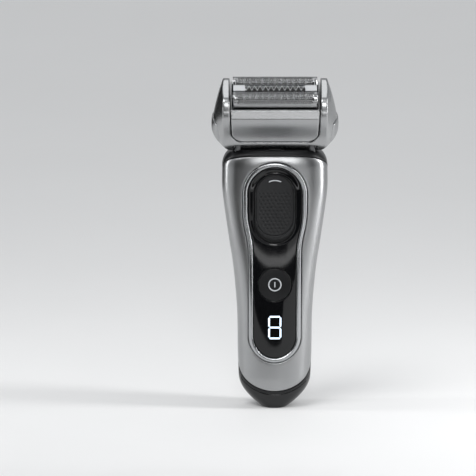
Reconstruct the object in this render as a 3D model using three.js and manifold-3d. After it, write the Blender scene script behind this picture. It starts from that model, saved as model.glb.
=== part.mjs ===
// A cordless foil shaver: a waisted handle with a metal front cover, a gloss inlay that holds a
// lock slider, a power button and a charge display, and a head that rocks on a yoke and carries a
// lift-off shaving cassette with two floating foils and a centre trimmer. A long-hair trimmer
// slides up the back of the handle.
//
// Millimetres, +Z up, the front faces -Y, the origin is the middle of the flat base.
// Head pieces are modelled in the head's own frame: X across, Y from front to back, Z up its axis,
// with its origin on the rocking axis. The head group turns that frame forward to its rest tilt.

import * as THREE from 'three';
import { mergeVertices } from 'three/addons/utils/BufferGeometryUtils.js';
import Module from 'manifold-3d';

const wasm = await Module();
wasm.setup();

const { clamp, degToRad, lerp, smoothstep } = THREE.MathUtils;

// ---------------------------------------------------------------- driving dimensions

const FIT = 0.3;                    // clearance between neighbouring pieces
const BEYOND = 60;                  // reach of a cutting solid past the piece it cuts

// handle body
const HANDLE_HEIGHT = 128.5;        // base to the top of the neck collar
const HANDLE_WIDTH = 51.4;          // across the shoulders
const GRIP_WIDTH = 36.2;            // across the waist
const GRIP_FRONT = 12.5;            // waist depth in front of the middle plane
const CELL_SPACE = 2.2;             // between the battery cell and the wall behind it at the waist
const TOP_FRONT = 14;               // the same at the shoulders
const TOP_BACK_EXTRA = 3.3;         // depth behind the middle plane gained up to the shoulders
const BASE_WIDTH = 12.4;            // flat that the handle stands on
const BASE_DEPTH = 16;
const BASE_ROUND = 16;              // height over which the bottom rounds out
const BASE_THICKNESS = 5.2;
const SHOULDER_RADIUS = 9;
const SHOULDER_DEPTH_SHARE = 0.45;  // how much of the shoulder round the depth takes
const COLLAR_THICKNESS = 4;
const WALL = 1.6;                   // housing wall
const BASE_SQUARENESS = 2;          // an ellipse at the bottom,
const TOP_SQUARENESS = 3.8;         // nearly square at the shoulders

// where the handle's shells part: slanted cuts, as [y, z] and slope dz/dy
const COVER_BOTTOM = { y: -12, z: 8.6, slope: 1.17 };
const COVER_TOP = { y: -14, drop: 2, slope: -0.7 };
const CAP_TOP = { y: -12, z: 5.9, slope: 1.17 };  // level behind the middle plane

// inlay, its bezel and what sits in it
const INLAY_WIDTH = 26.8;           // around the lock slider
const INLAY_NARROW = 21.3;          // around the button and display
const INLAY_BOTTOM = 25.7;          // height of its lower end
const INLAY_TOP_GAP = 8.1;          // its upper end below the top of the handle
const INLAY_TAPER = 24;             // height over which it narrows
const BEZEL_WIDTH = 2.2;
const BEZEL_PROUD = 0.3;
const PANEL_INSET = 0.4;
const PANEL_THICKNESS = 1.6;
const SLIDER_WIDTH = 19.2;
const SLIDER_LENGTH = 32;
const SLIDER_TOP_GAP = 3.6;         // slider top below the inlay's top
const SLIDER_TRAVEL = 1.6;
const SLIDER_RIM = 0.6;
const SLIDER_EDGE_GAP = 0.5;
const PAD_THICKNESS = 0.6;
const BUTTON_DIAMETER = 16.1;
const BUTTON_HEIGHT = 62.3;
const BUTTON_TRAVEL = 0.5;
const DISPLAY_HEIGHT = 41;          // centre of the charge display
const DISPLAY_SIZE = { x: 12, z: 16, thickness: 2 };

// inside the handle
const BOARD = { halfWidth: 11, front: -7.6, thickness: 1, bottom: 24, aboveButton: 21.7 };
const CHASSIS_THICKNESS = 1.2;
const CELL_DIAMETER = 14;
const CELL_LENGTH = 50;
const CELL_BOTTOM = 20;
const SOCKET = { width: 9.4, depth: 3.9, y: 4.5, wall: 1.2, floor: 2, recess: 7, pinPitch: 4.8 };
const SOCKET_PIN_DIAMETER = 1.6;
const CONTACT = { diameter: 3, halfPitch: 4, z: 14 };

// neck yoke and rocking axis
const PIVOT_Y = -4.45;
const PIVOT_RISE = 8.5;             // axis above the top of the handle
const REST_TILT = degToRad(30);     // head leaning forward at rest
const ROCK = degToRad(20);          // rocking either way
const YOKE_ARM = { inner: 16.5, thickness: 3, width: 7 };
const YOKE_BASE = { drop: 16.5, thickness: 3 };  // underside below the top of the handle
const PIVOT_DIAMETER = 3;
const SCREW_DIAMETER = 2;
const SCREW_HEAD = { diameter: 4, height: 1.6 };
const SCREW_X = 8;

// head frame
const HEAD_WIDTH = 60.8;
const HUB_RADIUS = 9.5;             // round underside about the rocking axis
const HUB_WALL = 1.4;
const HEAD_DEPTH = 26;              // front to back at its deepest
const DEEPEST = 17;                 // height of the deepest point above the axis
const EAR_TOP = 26;
const EAR_TOP_DEPTH = 13;
const EAR_SIDE = 5.2;               // width of the ear's side
const EAR_BULGE = 1.8;              // roundness of the ear's side
const BAY_WIDTH = 44;               // between the ears
const BAY_CORNER = 6;
const BAY_TAPER = 0.7;              // how much each side of the bay closes in towards its bottom
const SADDLE_GAP = 0.35;            // hub to the trough in the collar
const RELEASE = { halfDepth: 6.5, bottom: -2, top: 9, proud: 0.4, travel: 1.2, slack: 0.4 };
const RELEASE_WALL = 1.4;           // ear wall between the bay and the button's pocket
const LATCH = { halfDepth: 2, bottom: 5.5, top: 7.5, reach: 1.7 };

// shaving cassette
const CASSETTE_TOP = 21.4;
const CHAMFER_FROM = 17.3;
const CASSETTE_WALL = 1.4;
const CASSETTE_END_WALL = 0.9;
const FOIL_RADIUS = 3.35;
const FOIL_THICKNESS = 0.35;
const FOIL_GAP = 0.45;              // foil to centre trimmer
const FOIL_MARGIN = 0.75;           // foil to cassette wall
const FOIL_RIDGE = 27.7;            // ridge above the axis
const FOIL_SKIRT = 4.75;            // straight sides below the arc
const FOIL_LENGTH = 40.8;
const FOIL_TRAVEL = 1.5;            // how far foils and centre trimmer press in
const CARRIER_BOTTOM = 17.8;
const CARRIER_END = 1.8;
const RAIL_THICKNESS = 0.45;        // carrier's side rails
const CUTTER_SLACK = 0.25;          // cutter to side rail
const FIN = { count: 11, pitch: 3, thickness: 0.8 };
const TRIMMER_TOP = 26.5;
const TRIMMER_HALF_DEPTH = 2.2;
const TRIMMER_SHEET = 0.4;
const TOOTH = { count: 15, pitch: 1.9, gap: 0.9 };

// drive
const DRIVE = { halfLength: 15, halfDepth: 7.5, top: 15, wall: 1.2, waist: -2, bottom: -6.3 };
const DRIVE_LOWER_HALF_DEPTH = 4.6;
const DRIVE_COVER_THICKNESS = 0.6;
const DRIVE_STROKE = 1.2;
const DRIVE_PIN = { diameter: 1.8, y: 4.95, top: 19.2 };
const BRIDGE = { bottom: 7, top: 9, halfLength: 10.4, end: 1.9, outer: 5.8, inner: 3.2 };
const BRIDGE_INNER = { halfLength: 5.6, halfDepth: 2.6 };
const MAGNET = { bottom: 4.3, outerHalfLength: 7, innerHalfLength: 4 };
const LEAF = { x: 12, thickness: 0.4, halfDepth: 5 };

// long-hair trimmer on the back
const RECESS = { halfWidth: 11.3, cover: 5.1, below: 3, wall: 1.5 };
const HAIR_TRIMMER = { topGap: 12.9, blade: 5.6, length: 33, halfWidth: 10.6, teeth: 13 };
const GRIP_PAD = { halfWidth: 12, bottom: 26, top: 70, proud: 0.4, depth: 0.8 };

// ---------------------------------------------------------------- derived places

const SHOULDER_Z = HANDLE_HEIGHT - SHOULDER_RADIUS;
const REAR_TOP = HANDLE_HEIGHT - COVER_TOP.drop + COVER_TOP.slope * -COVER_TOP.y;
const INLAY_TOP = HANDLE_HEIGHT - INLAY_TOP_GAP;
const SLIDER_TOP = INLAY_TOP - SLIDER_TOP_GAP;
const SLIDER_BOTTOM = SLIDER_TOP - SLIDER_LENGTH;
const PIVOT_Z = HANDLE_HEIGHT + PIVOT_RISE;
const YOKE_BASE_Z = HANDLE_HEIGHT - YOKE_BASE.drop;
const FOIL_CENTER = FOIL_RIDGE - FOIL_RADIUS;
const FOIL_Y = TRIMMER_HALF_DEPTH + FOIL_GAP + FOIL_RADIUS;
const CASSETTE_TOP_DEPTH = 2 * (FOIL_Y + FOIL_RADIUS + FOIL_MARGIN + CASSETTE_WALL);
const RELEASE_POCKET_X = BAY_WIDTH / 2 + RELEASE_WALL;
const CASSETTE_HALF_LENGTH = BAY_WIDTH / 2 - FIT - 0.1;
const BOARD_BACK = BOARD.front + BOARD.thickness;
const BOARD_TOP = BUTTON_HEIGHT + BOARD.aboveButton;
const CHASSIS_FRONT = BOARD_BACK + FIT;
const CHASSIS_BACK = CHASSIS_FRONT + CHASSIS_THICKNESS;
const CELL_Y = CHASSIS_BACK + FIT + CELL_DIAMETER / 2;
const GRIP_BACK = CELL_Y + CELL_DIAMETER / 2 + CELL_SPACE + WALL;
const TOP_BACK = GRIP_BACK + TOP_BACK_EXTRA;
const RECESS_FLOOR = TOP_BACK - RECESS.cover;
const BLADE_TOP = HANDLE_HEIGHT - HAIR_TRIMMER.topGap;
const TRIMMER_SLIDE_TOP = BLADE_TOP - HAIR_TRIMMER.blade;
const TRIMMER_SLIDE_BOTTOM = TRIMMER_SLIDE_TOP - HAIR_TRIMMER.length;
const RECESS_BOTTOM = TRIMMER_SLIDE_BOTTOM - RECESS.below;

// ---------------------------------------------------------------- solids, joins and cuts

// Merges a geometry's shared vertices and drops triangles that collapse.
function weld(geometry) {
  const bare = geometry.clone();
  bare.deleteAttribute('normal');
  bare.deleteAttribute('uv');
  const merged = mergeVertices(bare);
  const kept = [];
  for (let i = 0; i < merged.index.count; i += 3) {
    const corners = [merged.index.getX(i), merged.index.getX(i + 1), merged.index.getX(i + 2)];
    if (new Set(corners).size === 3) {
      kept.push(...corners);
    }
  }
  merged.setIndex(kept);
  merged.clearGroups();
  return merged;
}

function toSolid(geometry) {
  const merged = weld(geometry);
  return new wasm.Manifold(new wasm.Mesh({
    numProp: 3,
    vertProperties: new Float32Array(merged.attributes.position.array),
    triVerts: new Uint32Array(merged.index.array),
  }));
}

function toGeometry(solid) {
  const mesh = solid.getMesh();
  const geometry = new THREE.BufferGeometry();
  geometry.setAttribute('position', new THREE.BufferAttribute(mesh.vertProperties, 3));
  geometry.setIndex(new THREE.BufferAttribute(mesh.triVerts, 1));
  geometry.computeVertexNormals();
  return geometry;
}

function combine(operation, geometries) {
  const [first, ...others] = geometries.map(toSolid);
  return toGeometry(others.reduce((result, other) => result[operation](other), first));
}

const join = (...geometries) => combine('add', geometries);
const cut = (...geometries) => combine('subtract', geometries);
const common = (...geometries) => combine('intersect', geometries);

// ---------------------------------------------------------------- basic shapes

function box(x0, x1, y0, y1, z0, z1) {
  const geometry = new THREE.BoxGeometry(x1 - x0, y1 - y0, z1 - z0);
  geometry.translate((x0 + x1) / 2, (y0 + y1) / 2, (z0 + z1) / 2);
  return geometry;
}

function rodX(radius, x0, x1, y, z, sides = 20) {
  const geometry = new THREE.CylinderGeometry(radius, radius, x1 - x0, sides);
  geometry.rotateZ(Math.PI / 2);
  geometry.translate((x0 + x1) / 2, y, z);
  return geometry;
}

function rodY(radius, y0, y1, x, z, sides = 20) {
  const geometry = new THREE.CylinderGeometry(radius, radius, y1 - y0, sides);
  geometry.translate(x, (y0 + y1) / 2, z);
  return geometry;
}

function rodZ(radius, z0, z1, x, y, sides = 20) {
  const geometry = new THREE.CylinderGeometry(radius, radius, z1 - z0, sides);
  geometry.rotateX(Math.PI / 2);
  geometry.translate(x, y, (z0 + z1) / 2);
  return geometry;
}

function extrude(shape, depth, curveSegments) {
  return new THREE.ExtrudeGeometry(shape, { depth, bevelEnabled: false, curveSegments });
}

// An outline drawn in Y and Z, extruded from x0 to x1.
function prismX(shape, x0, x1, curveSegments = 8) {
  const geometry = extrude(shape, x1 - x0, curveSegments);
  geometry.applyMatrix4(new THREE.Matrix4().makeBasis(
    new THREE.Vector3(0, 1, 0), new THREE.Vector3(0, 0, 1), new THREE.Vector3(1, 0, 0)));
  geometry.translate(x0, 0, 0);
  return geometry;
}

// An outline drawn in X and Z, extruded from y0 to y1.
function prismY(shape, y0, y1, curveSegments = 8) {
  const geometry = extrude(shape, y1 - y0, curveSegments);
  geometry.applyMatrix4(new THREE.Matrix4().makeBasis(
    new THREE.Vector3(1, 0, 0), new THREE.Vector3(0, 0, 1), new THREE.Vector3(0, -1, 0)));
  geometry.translate(0, y1, 0);
  return geometry;
}

function polygon(points) {
  return new THREE.Shape(points.map(([u, v]) => new THREE.Vector2(u, v)));
}

// An upright stadium outline: round ends, straight sides.
function stadium(halfWidth, bottom, top) {
  const shape = new THREE.Shape();
  shape.absarc(0, top - halfWidth, halfWidth, 0, Math.PI, false);
  shape.absarc(0, bottom + halfWidth, halfWidth, Math.PI, 2 * Math.PI, false);
  shape.closePath();
  return shape;
}

// A closed solid through rings of equally many points, listed from the lowest ring up, each
// counter-clockwise seen from above.
function loft(rings) {
  const count = rings[0].length;
  const points = rings.flat();
  const index = [];
  for (let i = 0; i < rings.length - 1; i += 1) {
    for (let j = 0; j < count; j += 1) {
      const a = i * count + j;
      const b = i * count + ((j + 1) % count);
      index.push(a, b, b + count, a, b + count, a + count);
    }
  }
  const caps = [
    { ring: rings[0], start: 0, up: false },
    { ring: rings.at(-1), start: (rings.length - 1) * count, up: true },
  ];
  for (const { ring, start, up } of caps) {
    const middle = points.length;
    points.push(ring.reduce((sum, p) => sum.add(p), new THREE.Vector3()).divideScalar(count));
    for (let j = 0; j < count; j += 1) {
      const here = start + j;
      const next = start + ((j + 1) % count);
      index.push(middle, ...(up ? [here, next] : [next, here]));
    }
  }
  const geometry = new THREE.BufferGeometry().setFromPoints(points);
  geometry.setIndex(index);
  return geometry;
}

// A smooth curve through [x, y] stations, level beyond the first and the last.
function curveThrough(stations) {
  const slope = (i) => {
    const [x0, y0] = stations[Math.max(i - 1, 0)];
    const [x1, y1] = stations[Math.min(i + 1, stations.length - 1)];
    return (y1 - y0) / (x1 - x0);
  };
  return (x) => {
    const last = stations.length - 1;
    const at = clamp(x, stations[0][0], stations[last][0]);
    const i = Math.min(stations.findLastIndex(([start]) => start <= at), last - 1);
    const [x0, y0] = stations[i];
    const [x1, y1] = stations[i + 1];
    const span = x1 - x0;
    const t = (at - x0) / span;
    return y0 * (1 + 2 * t) * (1 - t) ** 2 + y1 * t ** 2 * (3 - 2 * t)
      + span * t * (1 - t) * (slope(i) * (1 - t) - slope(i + 1) * t);
  };
}

// ---------------------------------------------------------------- handle form

// Share of the way from the waist's width to the shoulders', against share of the height.
const flare = curveThrough([
  [0.12, -0.06], [0.23, 0], [0.36, 0.03], [0.47, 0.16], [0.56, 0.32],
  [0.64, 0.53], [0.78, 0.87], [0.85, 1], [0.93, 1],
]);

function handleSize(z) {
  const rise = clamp(z / BASE_ROUND, 0, 1);
  const swell = 1 - (1 - rise) ** 2;
  const share = z / HANDLE_HEIGHT;
  const over = clamp((z - SHOULDER_Z) / SHOULDER_RADIUS, 0, 1);
  const drop = SHOULDER_RADIUS * (1 - Math.sqrt(1 - over ** 2));
  const half = lerp(GRIP_WIDTH, HANDLE_WIDTH, flare(share)) / 2;
  const deepen = smoothstep(share, 0.12, 0.8);
  const depthDrop = drop * SHOULDER_DEPTH_SHARE;
  return {
    half: lerp(BASE_WIDTH / 2, half, swell) - drop,
    front: lerp(BASE_DEPTH / 2, lerp(GRIP_FRONT, TOP_FRONT, deepen), swell) - depthDrop,
    back: lerp(BASE_DEPTH / 2, lerp(GRIP_BACK, TOP_BACK, deepen), swell) - depthDrop,
  };
}

function handleRing(z, inset, count = 28) {
  const { half, front, back } = handleSize(z);
  const share = smoothstep(z / HANDLE_HEIGHT, 0.1, 0.85);
  const power = 2 / lerp(BASE_SQUARENESS, TOP_SQUARENESS, share);
  const round = (value) => Math.sign(value) * Math.abs(value) ** power;
  return Array.from({ length: count }, (_, i) => {
    const turn = (2 * Math.PI * i) / count;
    const depth = Math.sin(turn) > 0 ? back : front;
    const x = (half - inset) * round(Math.cos(turn));
    const y = (depth - inset) * round(Math.sin(turn));
    return new THREE.Vector3(x, y, z);
  });
}

function handleHeights() {
  const bottom = [0, 0.06, 0.2, 0.42, 0.7].map((share) => share * BASE_ROUND);
  const middleCount = 7;
  const middle = Array.from({ length: middleCount + 1 },
    (_, i) => lerp(BASE_ROUND, SHOULDER_Z, i / middleCount));
  const top = [25, 48, 70, 90].map(
    (angle) => SHOULDER_Z + SHOULDER_RADIUS * Math.sin(degToRad(angle)));
  return [...bottom, ...middle, ...top];
}

// The handle's outer form, set in by inset, between two heights.
function handleForm(inset, low = 0, high = HANDLE_HEIGHT) {
  const between = handleHeights().filter((z) => z > low + 0.4 && z < high - 0.4);
  return loft([low, ...between, high].map((z) => handleRing(z, inset)));
}

// A skin of the handle's front, from one depth below the surface to another.
function frontSkin(inset, thickness, outline) {
  const outside = common(handleForm(inset, BASE_ROUND / 2, SHOULDER_Z + 2),
    prismY(outline, -BEYOND, -5));
  return cut(outside, handleForm(inset + thickness, 0, HANDLE_HEIGHT));
}

// ---------------------------------------------------------------- where the shells part

const along = (line, y) => line.z + line.slope * (y - line.y);
const coverTop = { y: COVER_TOP.y, z: HANDLE_HEIGHT - COVER_TOP.drop, slope: COVER_TOP.slope };

function coverRegion(gap = 0) {
  return prismX(polygon([
    [-BEYOND, along(COVER_BOTTOM, -BEYOND) - gap],
    [gap, along(COVER_BOTTOM, gap) - gap],
    [gap, along(coverTop, gap) + gap],
    [-BEYOND, along(coverTop, -BEYOND) + gap],
  ]), -BEYOND, BEYOND);
}

function capRegion(gap = 0) {
  return prismX(polygon([
    [-BEYOND, along(CAP_TOP, -BEYOND) + gap],
    [-BEYOND, -2 * BEYOND],
    [BEYOND, -2 * BEYOND],
    [BEYOND, along(CAP_TOP, 0) + gap],
    [0, along(CAP_TOP, 0) + gap],
  ]), -BEYOND, BEYOND);
}

function collarRegion(gap = 0) {
  return prismX(polygon([
    [-BEYOND, along(coverTop, -BEYOND) - gap],
    [0, REAR_TOP - gap],
    [BEYOND, REAR_TOP - gap],
    [BEYOND, HANDLE_HEIGHT + BEYOND],
    [-BEYOND, HANDLE_HEIGHT + BEYOND],
  ]), -BEYOND, BEYOND);
}

function trimmerRecess(grow = 0) {
  const half = RECESS.halfWidth + grow;
  const low = RECESS_BOTTOM - grow;
  return box(-half, half, RECESS_FLOOR - grow, BEYOND, low, HANDLE_HEIGHT + BEYOND);
}

// The whole housing wall, before it is parted into shells.
function housingWall() {
  const cavity = handleForm(WALL, BASE_THICKNESS, HANDLE_HEIGHT - COLLAR_THICKNESS);
  const hollow = cut(cavity, trimmerRecess(RECESS.wall));
  return cut(handleForm(0), hollow, trimmerRecess());
}

const wall = housingWall();

// ---------------------------------------------------------------- handle shells

// The inlay's keyhole outline, grown outwards by grow.
function inlayOutline(grow = 0) {
  const wide = INLAY_WIDTH / 2;
  const narrow = INLAY_NARROW / 2;
  const upper = INLAY_TOP - wide;
  const lower = INLAY_BOTTOM + narrow;
  const taperTop = SLIDER_BOTTOM + SLIDER_WIDTH * 0.8;
  const taperBottom = taperTop - INLAY_TAPER;
  const pull = INLAY_TAPER / 2;
  const shape = new THREE.Shape();
  shape.absarc(0, upper, wide + grow, 0, Math.PI, false);
  shape.lineTo(-wide - grow, taperTop);
  shape.bezierCurveTo(-wide - grow, taperTop - pull, -narrow - grow, taperBottom + pull,
    -narrow - grow, taperBottom);
  shape.absarc(0, lower, narrow + grow, Math.PI, 2 * Math.PI, false);
  shape.lineTo(narrow + grow, taperBottom);
  shape.bezierCurveTo(narrow + grow, taperBottom + pull, wide + grow, taperTop - pull,
    wide + grow, taperTop);
  shape.closePath();
  return shape;
}

function frontCover() {
  const opening = prismY(inlayOutline(BEZEL_WIDTH + FIT), -BEYOND, -5);
  return cut(common(wall, coverRegion()), opening);
}

function inlayBezel() {
  const ring = frontSkin(-BEZEL_PROUD, WALL + BEZEL_PROUD, inlayOutline(BEZEL_WIDTH));
  return cut(ring, prismY(inlayOutline(), -BEYOND, 0));
}

function inlayPanel() {
  const panel = frontSkin(PANEL_INSET, PANEL_THICKNESS, inlayOutline(-FIT));
  const sliderHole = stadium(SLIDER_WIDTH / 2 + SLIDER_EDGE_GAP,
    SLIDER_BOTTOM - SLIDER_TRAVEL - SLIDER_EDGE_GAP, SLIDER_TOP + SLIDER_EDGE_GAP);
  const buttonHole = rodY(BUTTON_DIAMETER / 2 + FIT, -BEYOND, 0, 0, BUTTON_HEIGHT);
  return cut(panel, prismY(sliderHole, -BEYOND, 0), buttonHole);
}

function gripOutline(grow = 0) {
  return stadium(GRIP_PAD.halfWidth + grow, GRIP_PAD.bottom - grow, GRIP_PAD.top + grow);
}

function rearShell() {
  const shell = cut(wall, coverRegion(FIT), capRegion(FIT), collarRegion(FIT));
  const seat = cut(prismY(gripOutline(FIT), 4, BEYOND), handleForm(GRIP_PAD.depth));
  return cut(shell, seat);
}

function rearGrip() {
  const pad = common(handleForm(-GRIP_PAD.proud), prismY(gripOutline(), 4, BEYOND));
  return cut(pad, handleForm(GRIP_PAD.depth - FIT));
}

function socketHole(z0, z1) {
  const half = SOCKET.width / 2;
  return box(-half, half, SOCKET.y - SOCKET.depth / 2, SOCKET.y + SOCKET.depth / 2, z0, z1);
}

function bottomCap() {
  const contactHoles = [-1, 1].map((side) => rodY(CONTACT.diameter / 2 + FIT,
    SOCKET.y, BEYOND, side * CONTACT.halfPitch, CONTACT.z, 16));
  return cut(common(wall, capRegion()), socketHole(-1, BASE_THICKNESS + 1), ...contactHoles);
}

function housingSeal() {
  const depth = 0.8;
  const band = cut(capRegion(depth), capRegion(-depth));
  const outside = common(handleForm(WALL + FIT, BASE_THICKNESS + FIT, SHOULDER_Z), band);
  return cut(outside, handleForm(WALL + FIT + 1.2, 0, HANDLE_HEIGHT));
}

// ---------------------------------------------------------------- neck

const atPivot = (radius, x0, x1) => rodX(radius, x0, x1, PIVOT_Y, PIVOT_Z, 36);

function collarSlots() {
  const arm = YOKE_ARM;
  const armHalf = arm.width / 2 + 0.4;
  const slots = [-1, 1].map((side) => {
    const middle = side * (arm.inner + arm.thickness / 2);
    const half = arm.thickness / 2 + 0.4;
    return box(middle - half, middle + half, PIVOT_Y - armHalf, PIVOT_Y + armHalf,
      REAR_TOP, HANDLE_HEIGHT + 1);
  });
  const lockSlot = box(-5.4, 5.4, -10.8, -9, REAR_TOP, HANDLE_HEIGHT + 1);
  const ribbonSlot = box(-3.5, 3.5, -5.5, -4.1, REAR_TOP, HANDLE_HEIGHT + 1);
  return [...slots, lockSlot, ribbonSlot];
}

function neckCollar() {
  const trough = atPivot(HUB_RADIUS + SADDLE_GAP, -BEYOND, BEYOND);
  return cut(common(wall, collarRegion()), trough, ...collarSlots());
}

function neckYoke() {
  const arm = YOKE_ARM;
  const outer = arm.inner + arm.thickness;
  const half = arm.width / 2;
  const base = box(-outer, outer, PIVOT_Y - half, PIVOT_Y + half,
    YOKE_BASE_Z, YOKE_BASE_Z + YOKE_BASE.thickness);
  const arms = [-outer, arm.inner].map((x) => join(
    box(x, x + arm.thickness, PIVOT_Y - half, PIVOT_Y + half, YOKE_BASE_Z, PIVOT_Z),
    rodX(half, x, x + arm.thickness, PIVOT_Y, PIVOT_Z)));
  const bores = atPivot(PIVOT_DIAMETER / 2 + FIT, -BEYOND, BEYOND);
  const screwHoles = [-1, 1].map((side) => rodZ(SCREW_DIAMETER / 2 + FIT,
    YOKE_BASE_Z - 1, YOKE_BASE_Z + 10, side * SCREW_X, PIVOT_Y, 16));
  return cut(join(base, ...arms), bores, ...screwHoles);
}

function pivotPin(side) {
  const inner = YOKE_ARM.inner - 0.4;
  const outer = RELEASE_POCKET_X - 0.2;
  return side < 0
    ? rodX(PIVOT_DIAMETER / 2, -outer, -inner, 0, 0)
    : rodX(PIVOT_DIAMETER / 2, inner, outer, 0, 0);
}

function yokeScrew(side) {
  const seat = YOKE_BASE_Z + YOKE_BASE.thickness + FIT;
  const x = side * SCREW_X;
  return join(rodZ(SCREW_HEAD.diameter / 2, seat, seat + SCREW_HEAD.height, x, PIVOT_Y, 16),
    rodZ(SCREW_DIAMETER / 2, YOKE_BASE_Z - 3, seat + 0.5, x, PIVOT_Y, 16));
}

// ---------------------------------------------------------------- inside the handle

function chassis() {
  const shelfTop = YOKE_BASE_Z - FIT;
  const shelfBottom = shelfTop - 3.2;
  const half = YOKE_ARM.width / 2;
  const slab = box(-12, 12, CHASSIS_FRONT, CHASSIS_BACK, CELL_BOTTOM - 2, shelfTop);
  const shelf = box(-12, 12, PIVOT_Y - half, PIVOT_Y + half, shelfBottom, shelfTop);
  const cheek = CELL_DIAMETER / 2 + 0.4;
  const cheeks = [-cheek - 1.2, cheek].map((x) => box(x, x + 1.2, CHASSIS_BACK - 0.2, CELL_Y,
    CELL_BOTTOM, CELL_BOTTOM + CELL_LENGTH));
  const screwHoles = [-1, 1].map((side) => rodZ(SCREW_DIAMETER / 2 + FIT,
    shelfBottom - 1, shelfTop + 1, side * SCREW_X, PIVOT_Y, 16));
  return cut(join(slab, shelf, ...cheeks), ...screwHoles);
}

function batteryCell() {
  const radius = CELL_DIAMETER / 2;
  const nub = 2.75;
  const profile = [[0, 0], [radius, 0], [radius, CELL_LENGTH - 1], [nub, CELL_LENGTH - 1],
    [nub, CELL_LENGTH], [0, CELL_LENGTH]].map(([u, v]) => new THREE.Vector2(u, v));
  const cell = new THREE.LatheGeometry(profile, 28);
  cell.rotateX(Math.PI / 2);
  cell.translate(0, CELL_Y, CELL_BOTTOM);
  return cell;
}

function batteryTab(bottom) {
  return box(-3.5, 3.5, CHASSIS_BACK + FIT, CELL_Y + 4, bottom, bottom + 0.5);
}

function mainBoard() {
  const plate = box(-BOARD.halfWidth, BOARD.halfWidth, BOARD.front, BOARD_BACK,
    BOARD.bottom, BOARD_TOP);
  const chip = box(-4, 4, BOARD.front - 1, BOARD.front + 0.2, 72, 78);
  const coil = box(5, 10, BOARD.front - 1.6, BOARD.front + 0.2, 50, 55);
  return join(plate, chip, coil);
}

function displayModule() {
  const back = BOARD.front - FIT;
  const half = DISPLAY_SIZE.x / 2;
  return box(-half, half, back - DISPLAY_SIZE.thickness, back,
    DISPLAY_HEIGHT - DISPLAY_SIZE.z / 2, DISPLAY_HEIGHT + DISPLAY_SIZE.z / 2);
}

const SWITCH_FRONT = BOARD.front - FIT - 0.7;

function powerSwitch() {
  return box(-3, 3, SWITCH_FRONT, BOARD.front - FIT, BUTTON_HEIGHT - 3, BUTTON_HEIGHT + 3);
}

function powerButton() {
  const shallow = PANEL_INSET + PANEL_THICKNESS;
  const disc = new THREE.Shape();
  disc.absarc(0, BUTTON_HEIGHT, BUTTON_DIAMETER / 2, 0, 2 * Math.PI, false);
  const rim = new THREE.Shape();
  rim.absarc(0, BUTTON_HEIGHT, BUTTON_DIAMETER / 2 + 1, 0, 2 * Math.PI, false);
  const stem = rodY(2, SWITCH_FRONT - BUTTON_TRAVEL - FIT - 2, SWITCH_FRONT - BUTTON_TRAVEL - FIT,
    0, BUTTON_HEIGHT, 16);
  return join(frontSkin(0.2, shallow + 0.6, disc), frontSkin(shallow + FIT, 0.7, rim), stem);
}

function driveRibbon() {
  const low = BOARD_TOP - 4;
  const back = BOARD.front - FIT;
  const rise = -8.5;
  const bend = YOKE_BASE_Z + 6;
  const end = HANDLE_HEIGHT - 2;
  const t = 0.35;
  return prismX(polygon([
    [back, low], [back, BOARD_TOP + 1], [rise, BOARD_TOP + 4], [rise, bend],
    [PIVOT_Y - 0.2, bend + 5.5], [PIVOT_Y - 0.2, end],
    [PIVOT_Y - 0.2 - t, end], [PIVOT_Y - 0.2 - t, bend + 5.7], [rise - t, bend + 0.2],
    [rise - t, BOARD_TOP + 3.8], [back - t, BOARD_TOP + 0.8], [back - t, low],
  ]), -3, 3);
}

function chargingSocket() {
  const halfX = SOCKET.width / 2 + SOCKET.wall;
  const halfY = SOCKET.depth / 2 + SOCKET.wall;
  const bottom = BASE_THICKNESS + FIT;
  const top = bottom + SOCKET.recess + SOCKET.floor;
  const block = box(-halfX, halfX, SOCKET.y - halfY, SOCKET.y + halfY, bottom, top);
  const pinHoles = [-1, 1].map((side) => rodZ(SOCKET_PIN_DIAMETER / 2 + FIT, bottom, top + 1,
    (side * SOCKET.pinPitch) / 2, SOCKET.y, 16));
  return cut(block, socketHole(bottom - 1, bottom + SOCKET.recess), ...pinHoles);
}

function socketPin(side) {
  const bottom = BASE_THICKNESS + FIT + 2.5;
  const top = BASE_THICKNESS + FIT + SOCKET.recess + SOCKET.floor + 1.5;
  return rodZ(SOCKET_PIN_DIAMETER / 2, bottom, top, (side * SOCKET.pinPitch) / 2, SOCKET.y, 16);
}

function stationContact(side) {
  const back = handleSize(CONTACT.z).back;
  return rodY(CONTACT.diameter / 2, back - WALL - 0.6, back - 0.3,
    side * CONTACT.halfPitch, CONTACT.z, 16);
}

// ---------------------------------------------------------------- lock slider

function lockSlider() {
  const face = stadium(SLIDER_WIDTH / 2, SLIDER_BOTTOM, SLIDER_TOP);
  const flange = stadium(SLIDER_WIDTH / 2 + 1.2, SLIDER_BOTTOM - 1.2, SLIDER_TOP + 1.2);
  const seat = stadium(SLIDER_WIDTH / 2 - SLIDER_RIM,
    SLIDER_BOTTOM + 2.5, SLIDER_TOP - SLIDER_RIM);
  const behindPanel = PANEL_INSET + PANEL_THICKNESS + FIT;
  const body = join(frontSkin(-0.2, behindPanel + 0.6, face), frontSkin(behindPanel, 1, flange));
  return cut(body, cut(prismY(seat, -BEYOND, 0), handleForm(PAD_THICKNESS + FIT + 0.1)));
}

function thumbPad() {
  const outline = stadium(SLIDER_WIDTH / 2 - SLIDER_RIM - FIT,
    SLIDER_BOTTOM + 2.5 + FIT, SLIDER_TOP - SLIDER_RIM - FIT);
  return frontSkin(0.1, PAD_THICKNESS, outline);
}

function lockBar() {
  const tip = HANDLE_HEIGHT + 0.4;
  const stem = box(-3, 3, -10.4, -9.4, SLIDER_BOTTOM + 12, tip);
  const foot = box(-5, 5, -10.4, -9.4, SLIDER_BOTTOM + 12, SLIDER_BOTTOM + 20);
  return join(stem, foot);
}

// ---------------------------------------------------------------- head form

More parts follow.
